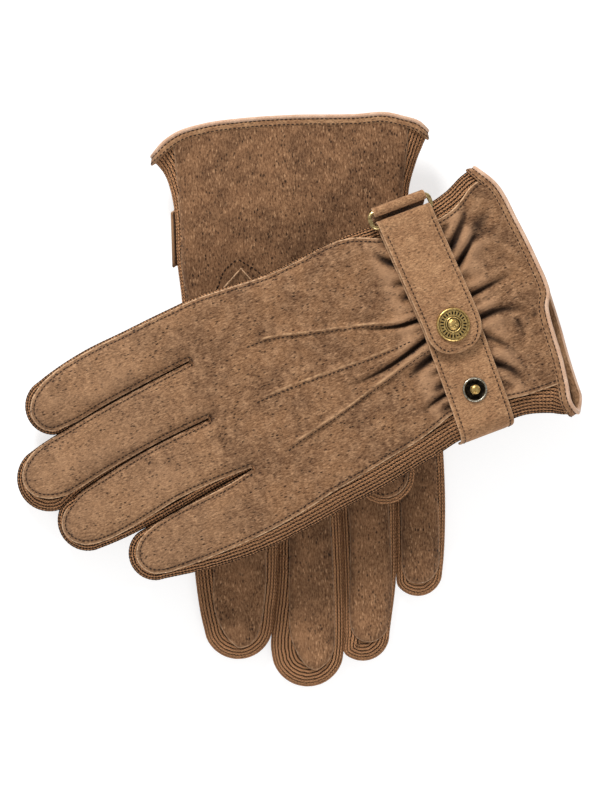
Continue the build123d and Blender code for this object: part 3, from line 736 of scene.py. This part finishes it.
class Thumb:
    """The flat tube of a thumb that lies across the palm, with the same methods as its glove."""

    def __init__(self, glove):
        self.glove, self.back_up = glove, glove.back_up
        self.base, tip = np.array(THUMB_BASE), np.array(glove.thumb_tip)
        length = np.linalg.norm(tip - self.base)
        self.axis = (tip - self.base) / length
        heading = math.degrees(math.atan2(self.axis[1], self.axis[0]))
        lean = math.degrees(math.asin((THUMB_BASE_R - THUMB_TIP_R) / length))
        around = (arc(*tip, THUMB_TIP_R, heading, 90 + lean, 90 + lean, 13)
                  + arc(*self.base, THUMB_BASE_R, heading + 180, 90 - lean, 90 - lean, 13))
        self.outline = spaced(curve_through(around + around[:1], 0.6), 0.6)

    def at(self, u, w, depth):
        """World places of points in the level frame of the palm."""
        return self.glove.world(u, w, self.glove.pivot[1] + (depth if self.back_up else THICKNESS - depth))

    def rise(self, uw):
        """Share of the tube's full height, less near its root."""
        run = (uw - self.base) @ self.axis
        return 0.35 + 0.65 * np.clip((run + 14) / 26, 0, 1)**0.8

    def on_tube(self, u, w, depth):
        """World places of points of the evenly thick tube, squeezed to its real height."""
        scale = self.rise(np.column_stack([u, w]))
        return self.at(u, w, THUMB_TOP - THUMB_HALF * scale + (depth + THUMB_HALF) * scale)

    def skin(self, uw, back, edge):
        """(depth of the leather's outer face, its relief, and its painted shade and highlight, all zero
        here).
        """
        crown = rounded(nearest(uw, self.outline)[0], THUMB_EDGE_R)
        relief = 0.25 * field(*uw.T, 7, 21) - 0.35 * bump(edge - SEAM_IN, 0.55) - 0.25 * bump(edge, 0.35)
        half = (THUMB_HALF + relief) * crown * self.rise(uw)
        middle = THUMB_TOP - THUMB_HALF * self.rise(uw)
        return (middle + half if back else middle - half), relief, np.zeros(len(uw))


def thumb(glove, looks):
    """The thumb's two leather faces and the knit round them."""
    tube, body, slot = Thumb(glove), glove.name + "_thumb", "suede_leather"
    outline, normals = tube.outline, inward(tube.outline)
    ring = spaced(outline + normals * HIDDEN_INSET, 0.8)[:-1]
    for back, side in ((False, "front"), (True, "back")):
        label = f"{glove.name}_thumb_{side}"
        sheet = panel(label + "_suede", tube.at, tube.skin, back, ring, 1.2, looks["palm"])
        place(sheet, body, slot, label)
        if not back:
            uw = outline + normals * (HIDDEN_INSET + SEAM_IN)
            line = on_skin(tube, uw, back, np.full(len(uw), SEAM_IN))
            stitching(f"{glove.name}_thumb_stitches", [(line, up_of(glove, back))], body, looks, slot)
    reach = np.full(len(outline), 4.6)
    strip = knit_strip(f"{glove.name}_thumb_gusset_knit", tube.on_tube, outline, normals, 0.0, reach, reach,
                       -THUMB_HALF, THUMB_HALF - 0.5, THUMB_EDGE_R, [], looks["knit"], 46)
    place(strip, body, "knit", f"{glove.name}_thumb_gusset")


# Sides of the wedge at the thumb's root, and the seams beside it.
QUIRK_SIDES = [[(69.0, -35.5), (62.5, -29.6), (55.5, -23.0)], [(55.5, -23.0), (60.5, -18.6), (66.0, -12.5)],
               [(66.0, -12.5), (70, -24), (69.0, -35.5)]]
QUIRK_SEAMS = [[(72, -39.5), (64, -33.5), (57, -30.5), (51.8, -24.6)],
               [(51.8, -24.0), (57.5, -15.5), (64, -9)]]


def quirk(glove, looks):
    """The wedge sewn in where the thumb leaves the palm, with its raised leather edge."""
    sides = [curve_through(line, 0.8)[:-1] for line in QUIRK_SIDES]
    ring = np.vstack(sides)[::-1]

    def raised(uw, back, edge):
        depth, relief, crease = glove.skin(uw, back)
        return depth - 0.75 + 0.35 * bump(edge - SEAM_IN, 0.5), relief, crease

    label, body = f"{glove.name}_thumb_quirk", glove.name + "_glove"
    sheet = panel(label + "_suede", glove.at, raised, False, ring, 0.8, looks["quirk"])
    place(sheet, body, "suede_leather", label)
    rows = [(on_skin(glove, curve_through(line, 0.8), False), up_of(glove, False)) for line in QUIRK_SEAMS]
    stitching(label + "_stitches", rows, body, looks, "suede_leather")


def strap_centre(w, shift):
    """The strap runs a little askew, nearer the fingers at the ring."""
    return np.interp(w - shift, [-56, -50, 0, 52], [41.1, 40.8, 37.9, 38.3])


def outer_normals(path):
    """Unit vectors to the left of a path of (W, depth) points."""
    way = unit(np.gradient(path, axis=0))
    return np.stack([-way[:, 1], way[:, 0]], 1)


def strip_object(name, glove, path, half_width, material, thickness=STRAP_LEATHER, loose_end=False):
    """A leather strip along a path of (W, depth) points, half_width wide each side of the strap's middle."""
    up, run = outer_normals(path), running(path)[:, None]
    half_width = np.broadcast_to(half_width, len(path))[:, None]
    x = np.sin(np.linspace(-1, 1, STRIP_COLUMNS) * math.pi / 2) * half_width
    u = strap_centre(path[:, :1], glove.ring_in) + x
    inset = half_width - np.abs(x)
    if loose_end:
        inset = np.minimum(inset, run[-1] - run)
    swell = thickness / 2 * rounded(inset, 0.6)
    wave = 0.12 * field(u, np.broadcast_to(run, u.shape), 6, 31)
    under = slice(-2, 0, -1)     # the underside's columns run back, without the two at the edges
    rise = np.hstack([swell - 0.22 * bump(inset - STRAP_SEAM_IN, 0.5) + wave, -0.98 * swell[:, under]])
    w, depth = path[:, :1] + up[:, :1] * rise, path[:, 1:] + up[:, 1:] * rise
    points = glove.on_wrist(np.hstack([u, u[:, under]]).ravel(), w.ravel(), depth.ravel())
    uv = np.hstack([u, u[:, under] + 40])
    uv = np.stack([uv, np.broadcast_to(run, uv.shape)], -1).reshape(-1, 2)
    return make(name, points, capped_tube(*rise.shape), uv, [material],
                **away_from_edges(np.hstack([inset, inset[:, under]]).ravel()))


def strap_rows(glove, path):
    """Two rows of stitches along the strap's sides, on its outer face."""
    up = outer_normals(path)
    rows = []
    for side in (-1, 1):
        u = strap_centre(path[:, 0], glove.ring_in) + side * (STRAP_HALF - STRAP_SEAM_IN)
        places = np.column_stack([u, path + up * 0.52])
        normals = world_normals(glove.on_wrist, places, np.column_stack([0 * u, up]))
        rows.append((glove.on_wrist(*places.T), normals))
    return rows


def flap_half(w, end):
    """Half the flap's width at a place along it, less round its end."""
    share = np.clip((w - (end - FLAP_ROUND)) / (FLAP_ROUND + 0.05), 0, 0.999)
    return STRAP_HALF * (1 - share**2.4)**(1 / 2.1)


def strap(glove, looks):
    """The strap from the ring round the wrist's side, its flap, and the keeper that holds the ring."""
    body, end_body = glove.name + "_glove", glove.name + "_strap_end"
    shift, slot = glove.ring_in, "strap_leather"
    bar, outer, end = INNER_BAR_W + shift, OUTER_BAR_W + shift, FLAP_END_W + shift
    lower = curve_through([(bar, STRAP_LAYER), (bar + 8, STRAP_LAYER - 0.1), (0, STRAP_LAYER + 0.25),
                           (25, STRAP_LAYER + 0.2), (42, STRAP_LAYER - 0.2), (47.5, 12.4), (50.4, 10.0),
                           (51.6, 6.0), (51.7, 1.4)], 0.9)
    base = strip_object(f"{glove.name}_strap_base_leather", glove, spaced(lower[1:], 0.8), STRAP_HALF,
                        looks["strap"])
    place(base, body, slot, f"{glove.name}_strap_base")
    rows = strap_rows(glove, spaced(lower[8:], 0.8))
    stitching(f"{glove.name}_strap_base_stitches", rows, body, looks, slot, STRAP_STITCH)
    turn = arc(bar, BAR_DEPTH, FOLD_MIDDLE_R, 180, -90, -90, 12)
    over = curve_through([turn[-1], (bar + 12, FLAP_LAYER + 0.15), (SNAP_W + shift, FLAP_LAYER + 0.2),
                          (end - 3, FLAP_LAYER - 0.2), (end, FLAP_LAYER - 0.7)], 0.6)
    path = spaced(np.vstack([turn, over[1:]]), 0.6)
    flap = strip_object(f"{glove.name}_strap_flap_leather", glove, path, flap_half(path[:, 0], end),
                        looks["strap"], loose_end=True)
    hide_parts(f"{glove.name}_strap_flap")
    hinge_a, hinge_b = (glove.on_wrist(STRAP_U, w + shift, FLAP_LAYER) for w in FLAP_BEND)
    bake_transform(flap)
    w, depth = over[over[:, 0] > bar + 2.5].T
    centre, half = strap_centre(w, shift), np.maximum(0, flap_half(w, end) - STRAP_SEAM_IN)
    w = np.minimum(w, end - STRAP_SEAM_IN)
    depth = depth + 0.5
    out_and_back = ((centre - half, centre + half), (w, w), (depth, depth))
    line = glove.on_wrist(*(np.append(out, back[::-1]) for out, back in out_and_back))
    ups = world_normals(glove.on_wrist, np.array([(30.0, 0.0, 17.0)]), np.array([(0.0, 0.0, 1.0)]))
    rows = [(spaced(line / MM, 0.7) * MM, ups)]
    stitching(f"{glove.name}_strap_flap_stitches", rows, end_body, looks, slot, STRAP_STITCH)
    loop = arc(outer, BAR_DEPTH, KEEPER_MIDDLE_R, 0, 63, 225, 22)
    tail = curve_through([loop[-1]] + glove.keeper_tail, 0.7)
    path = spaced(np.vstack([loop, tail[1:]]), 0.5)
    keeper = strip_object(f"{glove.name}_ring_keeper_leather", glove, path, KEEPER_HALF, looks["strap"],
                          thickness=KEEPER_LEATHER)
    place(keeper, body, slot, f"{glove.name}_ring_keeper")


def wire_ring(glove, looks):
    """The brass wire ring, a little uneven as cast."""
    middle_w, sides = (INNER_BAR_W + OUTER_BAR_W) / 2 + glove.ring_in, 12
    a, b = RING_HALF_U - RING_CORNER_R, RING_HALF_W - RING_CORNER_R
    path = [point for i, corner in enumerate(((a, b), (-a, b), (-a, -b), (a, -b)))
            for point in arc(*corner, RING_CORNER_R, 45 + 90 * i, 45, 45, 7)]
    path = spaced(closed(np.array(path)), 0.9)[:-1]
    way = unit(np.roll(path, -1, 0) - np.roll(path, 1, 0))
    wire = WIRE_R * (1.0 + 0.05 * np.sin(0.7 * np.arange(len(path))))[:, None]
    turn = np.linspace(0, math.tau, sides, endpoint=False)
    out = wire * np.cos(turn)
    u = (RING_U + path[:, :1] + way[:, 1:] * out).ravel()
    w = (middle_w + path[:, 1:] - way[:, :1] * out).ravel()
    points = glove.on_wrist(u, w, (BAR_DEPTH + wire * np.sin(turn)).ravel())
    faces = grid_faces(len(path), sides, round_rows=True, round_columns=True)
    piece = make(f"{glove.name}_ring_wire", points, faces, np.column_stack([u, w]), [looks["wire"]])
    place(piece, glove.name + "_ring_body", "antique_brass", f"{glove.name}_ring")


# Profiles of the press stud's turned parts: (radius, height).
STUD = [(0, 0.0), (5.0, 0.0), (5.3, 0.1), (5.45, 0.45), (5.4, 0.85), (5.1, 1.05), (4.75, 0.95), (4.5, 0.6),
        (4.3, 0.42), (2.4, 0.40), (2.05, 0.5), (1.8, 0.75), (1.75, 1.1), (1.95, 1.35), (2.15, 1.75),
        (2.1, 2.2), (1.75, 2.6), (1.1, 2.85), (0.5, 2.92), (0, 2.94)]
CAP = [(0, -0.4), (1.4, -0.4), (1.45, 0.0), (6.9, 0.0), (7.35, 0.2), (7.5, 0.55), (7.42, 0.95), (7.1, 1.3),
       (6.75, 1.45), (6.5, 1.42), (6.35, 1.3), (6.25, 1.28), (3.75, 1.55), (3.6, 1.58), (3.45, 1.8),
       (3.2, 1.92), (2.95, 1.82), (2.8, 1.62), (2.5, 1.6), (2.3, 1.85), (1.9, 2.1), (1.2, 2.3), (0.5, 2.38),
       (0, 2.4)]
BEAD = [(0, -0.3), (0.7, -0.2), (1.0, 0.1), (0.8, 0.55), (0.45, 0.8), (0, 0.9)]


def face_places(points, faces):
    """The mean (radius, height) of each face of a turned shape."""
    table = np.column_stack([np.linalg.norm(points[:, :2], axis=1), points[:, 2]])
    return [table[list(f)].mean(0) for f in faces]


def turned(points, share):
    """Points turned about Z by a share of a full turn."""
    c, s = math.cos(share * math.tau), math.sin(share * math.tau)
    return points @ np.array([(c, s, 0), (-s, c, 0), (0, 0, 1)])


def studs(glove, looks):
    """The two post halves of the press stud, each a dark cup with a bright rolled rim and a brass ball."""
    points, faces = lathe(STUD, 48)
    kinds = [0 if r > 4.6 and h > 0.2 else 1 if r > 2.0 and h < 0.7 else 2
             for r, h in face_places(points, faces)]
    ws = [w + glove.ring_in for w in (SNAP_W, SPARE_STUD_W)]
    cloud = np.vstack([points + (strap_centre(w, glove.ring_in), w, STUD_BASE) for w in ws])
    piece = make(f"{glove.name}_snap_studs_metal", glove.on_wrist(*cloud.T), copied(faces, len(points), 2),
                 cloud[:, :2], [looks["silver"], looks["dark"], looks["brass"]], kinds * 2)
    place(piece, glove.name + "_glove", "dark_brass", f"{glove.name}_snap_studs")


def snap_cap(glove, looks):
    """The cap of the press stud: a rolled rim, a sunk band of raised ticks and beads, and a ringed boss."""
    points, faces = lathe(CAP, 72)
    kinds = [int((6.25 < r < 6.45 or 3.45 < r < 3.7 or 2.4 < r < 2.9) and h > 1)
             for r, h in face_places(points, faces)]
    bead, bead_faces = lathe(BEAD, 10)
    clouds = [points]
    for k in range(TICKS):
        size = (0.95, 0.36, 0.3) if k % 6 else (0.42, 0.42, 0.35)
        clouds.append(turned(bead * size + (TICK_RING_R, 0, 1.38), k / TICKS))
    for k in range(DOTS):
        clouds.append(turned(bead * (0.55, 0.3, 0.35) + (DOT_RING_R, 0, 2.12), k / DOTS))
    faces += copied(bead_faces, len(bead), TICKS + DOTS, len(points))
    kinds += [1] * TICKS * len(bead_faces) + [0] * DOTS * len(bead_faces)
    cloud = np.vstack(clouds)
    places = cloud + (CAP_U, SNAP_W + glove.ring_in, CAP_BASE)
    piece = make(f"{glove.name}_snap_cap_brass", glove.on_wrist(*places.T), faces, cloud[:, :2],
                 [looks["brass"], looks["dark"]], kinds)
    place(piece, glove.name + "_strap_end", "antique_brass", f"{glove.name}_snap_cap")


# Materials.
def colour(r, g, b):
    """A screen colour, 0 to 255, as the shader's linear one."""
    return tuple(((c / 255 + 0.055) / 1.055)**2.4 if c > 10 else c / 255 / 12.92 for c in (r, g, b)) + (1.0,)


class Look:
    """A material under construction, whose base colour is laid over in turn."""

    def __init__(self, name, base, roughness, **sockets):
        self.material = bpy.data.materials.new(name)
        self.material.use_nodes = True
        self.nodes, self.links = self.material.node_tree.nodes, self.material.node_tree.links
        self.shader, self.base = self.nodes["Principled BSDF"], base
        self.shader.inputs["Roughness"].default_value = roughness
        for key, value in sockets.items():
            self.shader.inputs[key.replace("_", " ")].default_value = value

    def add(self, kind, inputs, **settings):
        node = self.nodes.new("ShaderNode" + kind)
        for key, value in settings.items():
            setattr(node, key, value)
        for key, value in inputs.items():
            if isinstance(value, bpy.types.NodeSocket):
                self.links.new(value, node.inputs[key])
            else:
                node.inputs[key].default_value = value
        return node

    def plan(self, across=1.0, along=1.0):
        """Texture coordinates in millimetres, stretched as asked."""
        uv = self.add("UVMap", {}, uv_map="UVMap")
        scale = (TEXTURE_SPAN * across, TEXTURE_SPAN * along, 1)
        return self.add("Mapping", {"Vector": uv.outputs["UV"], "Scale": scale}).outputs["Vector"]

    def axes(self, plan):
        return self.add("SeparateXYZ", {"Vector": plan}).outputs

    def math(self, operation, a, b=0.0, c=0.0):
        return self.add("Math", {0: a, 1: b, 2: c}, operation=operation).outputs[0]

    def noise(self, plan, size, detail=2.0, rough=0.55):
        made = self.add("TexNoise", {"Vector": plan, "Scale": 1 / size, "Detail": detail, "Roughness": rough})
        return made.outputs["Fac"]

    def cells(self, plan, size):
        return self.add("TexVoronoi", {"Vector": plan, "Scale": 1 / size, "Randomness": 1.0}).outputs

    def remap(self, value, low, high, to_low=0.0, to_high=1.0):
        limits = {"From Min": low, "From Max": high, "To Min": to_low, "To Max": to_high}
        made = self.add("MapRange", {"Value": value, **limits}, interpolation_type="SMOOTHSTEP")
        return made.outputs["Result"]

    def mix(self, amount, a, b):
        """A blend of two colours, each a socket or a screen colour."""
        a, b = (colour(*tint) if isinstance(tint, tuple) else tint for tint in (a, b))
        return self.add("Mix", {0: amount, 6: a, 7: b}, data_type="RGBA").outputs[2]

    def cover(self, tint, amount, *limits):
        """Lays a tint over the base colour by an amount, which is first remapped if limits are given."""
        self.base = self.mix(self.remap(amount, *limits) if limits else amount, self.base, tint)

    def value(self, name):
        return self.add("Attribute", {}, attribute_name=name, attribute_type="GEOMETRY").outputs["Fac"]

    def finish(self, height, strength, distance, roughness=None):
        self.links.new(self.base, self.shader.inputs["Base Color"])
        made = self.add("Bump", {"Height": height, "Strength": strength, "Distance": distance})
        self.links.new(made.outputs["Normal"], self.shader.inputs["Normal"])
        if roughness is not None:
            self.links.new(roughness, self.shader.inputs["Roughness"])
        return self.material


def pores_of(look, plan, amount):
    """Small dark pores in groups."""
    cells = look.cells(look.plan(0.5), 1.15)
    region = look.remap(look.noise(plan, 6.0), 0.40, 0.60)
    pore = look.remap(cells["Distance"], 0.13, 0.38, 0.9, 0.0)
    for share in (look.remap(cells["Color"], 0.3, 0.6), look.math("MULTIPLY_ADD", region, 0.5, 0.5), amount):
        pore = look.math("MULTIPLY", pore, share)
    return pore


def suede(name, dark, mid, light, pores=1.0, seams=1.0, flecks=0.28, tips=0.0):
    """Pigskin suede: mottled, with a brushed nap, small grouped pores, pale flecks and paler raw edges, plus
    painted highlight on raised relief and tuck crests and painted shade in fold valleys.
    """
    look = Look(name, dark, 0.95, Sheen_Weight=0.06, Sheen_Roughness=0.5, Specular_IOR_Level=0.15)
    plan, brushed = look.plan(), look.plan(0.4)
    blotch = look.noise(plan, 5.0, 3.0, 0.65)
    nap = look.noise(brushed, 0.75, 3.0, 0.75)
    look.cover(mid, look.noise(plan, 19, 3.0, 0.6), 0.38, 0.64)
    look.cover(light, blotch, 0.42, 0.72, 0.0, 0.6)
    look.cover(light, look.axes(plan)["X"], 120, 190, 0.0, tips)
    hollow = look.mix(0.42, look.base, (46, 26, 13))
    raised = look.mix(0.25, look.base, (206, 162, 120))
    look.base = look.mix(look.remap(nap, 0.3, 0.7), hollow, raised)
    look.cover((52, 31, 17), look.noise(brushed, 0.42, 2.0, 0.8), 0.48, 0.66, 0.0, 0.5)
    pore = pores_of(look, plan, pores)
    look.cover((36, 20, 10), pore)
    fleck = look.remap(look.cells(look.plan(0.35), 1.3)["Distance"], 0.1, 0.28, 1.0, 0.0)
    look.cover((204, 160, 120), look.math("MULTIPLY", fleck, flecks))
    edge, rise, crease = look.value("edge"), look.value("rise"), look.value("crease")
    # Painted highlight: raised relief is made lighter.
    look.cover(light, rise, 0.3, 2.2, 0.0, 0.55)
    # Painted shade: the fold valleys are darkened.
    look.cover((30, 17, 9), crease, 0.1, 1.2, 0.0, 0.9)
    # Patchy noise for the pale worn raw edges, and for the painted highlight on the tuck crests.
    worn = look.remap(look.noise(plan, 2.2), 0.3, 0.62, 0.1, 0.75 * seams)
    # Painted highlight: a pale line along each tuck's crest.
    look.cover((200, 160, 120), look.math("MULTIPLY", look.remap(crease, -0.3, -0.9, 0.0, 0.7), worn))
    rim = look.math("MULTIPLY", look.remap(edge, 0.62, 0.2), look.remap(edge, -0.6, -0.2))
    look.cover((218, 180, 142), look.math("MULTIPLY", rim, worn))
    off_seam = look.math("ABSOLUTE", look.math("SUBTRACT", edge, SEAM_IN))
    look.cover((46, 28, 16), off_seam, 0.1, 0.75, 0.34 * seams, 0.0)
    look.cover((104, 74, 52), edge, -0.7, -0.95)
    grain = look.math("MULTIPLY_ADD", nap, 0.6, look.math("MULTIPLY", blotch, 0.5))
    return look.finish(look.math("SUBTRACT", grain, pore), 0.8, 0.0005)


def knitted(name):
    """Plain knit seen as ribs of V stitches, in brown wool, with painted shade in the gaps between stitches
    and painted light on their crests.
    """
    # The near-black base colour is painted shade in the gaps between stitches.
    look = Look(name, (16, 8, 4), 0.95, Specular_IOR_Level=0.15)
    plan = look.plan()
    along, across = look.axes(plan)["X"], look.axes(plan)["Y"]
    rib = look.math("MULTIPLY_ADD", look.noise(plan, 3.5), 0.6, look.math("DIVIDE", across, WALE))
    leg = look.math("ABSOLUTE", look.math("MULTIPLY_ADD", look.math("FRACT", rib), 2.0, -1.0))
    phase = look.math("MULTIPLY_ADD", leg, SLANT, look.math("DIVIDE", along, COURSE))
    wave = look.math("MULTIPLY_ADD", look.math("SINE", look.math("MULTIPLY", phase, math.tau)), 0.5, 0.5)
    ridge = look.math("SUBTRACT", 1.0, look.math("POWER", leg, 2.2))
    lit = look.math("MULTIPLY", look.math("MULTIPLY_ADD", wave, 0.55, 0.45), ridge)
    lit = look.math("ADD", lit, look.math("MULTIPLY_ADD", look.noise(plan, 0.4), 0.5, -0.25))
    # Painted light: the stitch crests are laid on in the wool's lit colour.
    look.cover((196, 143, 101), lit, 0.28, 0.72)
    faded = look.mix(0.2, look.base, (176, 126, 86))
    look.cover(faded, look.noise(plan, 12), 0.3, 0.7, 0.0, 0.35)
    return look.finish(lit, 1.0, 0.0008)


def metal(name, bright, dull, roughness, size=1.2, dark_share=0.45):
    """Aged metal: polished where it rubs, dull and pitted elsewhere."""
    look = Look(name, dull, roughness, Metallic=1.0)
    plan = look.plan()
    worn = look.noise(plan, size, 4.0, 0.65)
    look.cover(bright, worn, dark_share - 0.12, dark_share + 0.2)
    rough = look.remap(worn, 0.3, 0.7, roughness + 0.2, roughness - 0.08)
    return look.finish(look.noise(plan, 0.25, 3.0), 0.25, 0.0001, rough)


def plain_leather(name, base, light, dark):
    """Smooth binding leather with a fine grain, darker where the grain is low."""
    look = Look(name, base, 0.8, Specular_IOR_Level=0.35, Sheen_Weight=0.15)
    plan = look.plan()
    grain = look.noise(plan, 0.5, 3.0, 0.7)
    look.cover(light, look.noise(plan, 6, 3.0, 0.6), 0.35, 0.7)
    look.cover(dark, grain, 0.3, 0.75, 0.55, 0.0)
    return look.finish(grain, 0.4, 0.0003)


def thread_look(name):
    """Dark twisted thread."""
    look = Look(name, (22, 12, 6), 0.85, Specular_IOR_Level=0.3)
    twist = look.noise(look.plan(2.0, 2.0), 0.3, 1.0)
    look.cover((52, 31, 18), twist, 0.3, 0.7)
    return look.finish(twist, 0.5, 0.0002)


def make_looks():
    """All the materials by their short names."""
    return {
        "back": suede("suede_back", (84, 54, 34), (125, 88, 59), (170, 131, 98), tips=0.32),
        "palm": suede("suede_palm", (84, 53, 33), (118, 81, 54), (152, 111, 79), seams=0.4, flecks=0.4),
        "quirk": suede("suede_quirk", (100, 68, 44), (124, 88, 60), (148, 110, 78)),
        "strap": suede("suede_strap", (140, 100, 69), (160, 118, 83), (184, 142, 104), 0.6, 0.6),
        "hem": suede("suede_hem", (126, 88, 60), (148, 110, 78), (172, 134, 100), 0.5),
        "binding": plain_leather("binding_leather", (196, 158, 130), (216, 184, 158), (140, 100, 72)),
        "knit": knitted("brown_knit"),
        "elastic": plain_leather("elastic_webbing", (70, 52, 40), (98, 76, 60), (34, 24, 18)),
        "thread": thread_look("sewing_thread"),
        "brass": metal("antique_brass", (214, 184, 118), (132, 100, 52), 0.34),
        "wire": metal("ring_brass", (200, 178, 128), (120, 98, 62), 0.32),
        "dark": metal("blackened_brass", (52, 44, 34), (16, 13, 10), 0.42, 1.5, 0.55),
        "silver": metal("worn_rim", (190, 184, 168), (92, 84, 70), 0.3, 1.0),
    }


def dress_cad(looks):
    """Materials for the CAD nodes that stay in view."""
    wanted = {"snap_socket": "brass", "stud_posts": "dark"}
    for name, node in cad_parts.items():
        kind = name.split("_", 1)[1]
        if kind in wanted:
            node.data.materials.clear()
            node.data.materials.append(looks[wanted[kind]])
            layers = node.data.uv_layers
            layer = layers["UVMap"] if "UVMap" in layers else layers.new(name="UVMap")
            for loop in node.data.loops:
                x, y, z = node.data.vertices[loop.vertex_index].co / MM / TEXTURE_SPAN
                layer.data[loop.index].uv = (x, y + z)


def build_floor():
    mesh = bpy.data.meshes.new("floor")
    mesh.from_pydata([(-3, -3, 0), (3, -3, 0), (3, 3, 0), (-3, 3, 0)], [], [(0, 1, 2, 3)])
    floor = link("floor", mesh)
    look = Look("paper", None, 1.0, Specular_IOR_Level=0.0, Emission_Strength=0.68)
    look.shader.inputs["Base Color"].default_value = (0.45, 0.45, 0.45, 1)
    look.shader.inputs["Emission Color"].default_value = (1, 1, 1, 1)
    mesh.materials.append(look.material)


def light(name, spot, size, power):
    """A square lamp that faces the origin."""
    lamp = bpy.data.lights.new(name, "AREA")
    lamp.energy, lamp.size = power, size
    made = link(name, lamp)
    made.location = spot
    made.rotation_euler = (-Vector(spot)).to_track_quat("-Z", "Y").to_euler()


def build_light():
    world = bpy.data.worlds.new("studio")
    world.use_nodes = True
    background = world.node_tree.nodes["Background"].inputs
    background["Color"].default_value = (1, 1, 1, 1)
    background["Strength"].default_value = 0.5
    bpy.context.scene.world = world
    light("key", (-0.5, 1.6, 1.3), 0.6, 50)
    light("fill", (0.3, -1.5, 1.3), 1.2, 20)
    bpy.context.scene.view_settings.view_transform = "Standard"


def build_camera():
    """Straight down, from so high up that there is hardly any perspective."""
    height, seen, level = 4.0, 0.3488, 0.020      # seen: the picture's height in metres at that level
    camera = bpy.data.cameras.new("camera")
    camera.sensor_width = 36.0
    camera.lens = camera.sensor_width * (height - level) / seen
    camera.clip_end = 20.0
    made = link("camera", camera)
    made.location = (0.00065, -0.0004, height)
    bpy.context.scene.camera = made


looks = make_looks()
for data in (LEFT, RIGHT):
    glove = Glove(data)
    for build in (shell, binding, elastic, thumb, quirk, strap, wire_ring, studs, snap_cap):
        build(glove, looks)
dress_cad(looks)
build_floor()
build_light()
build_camera()
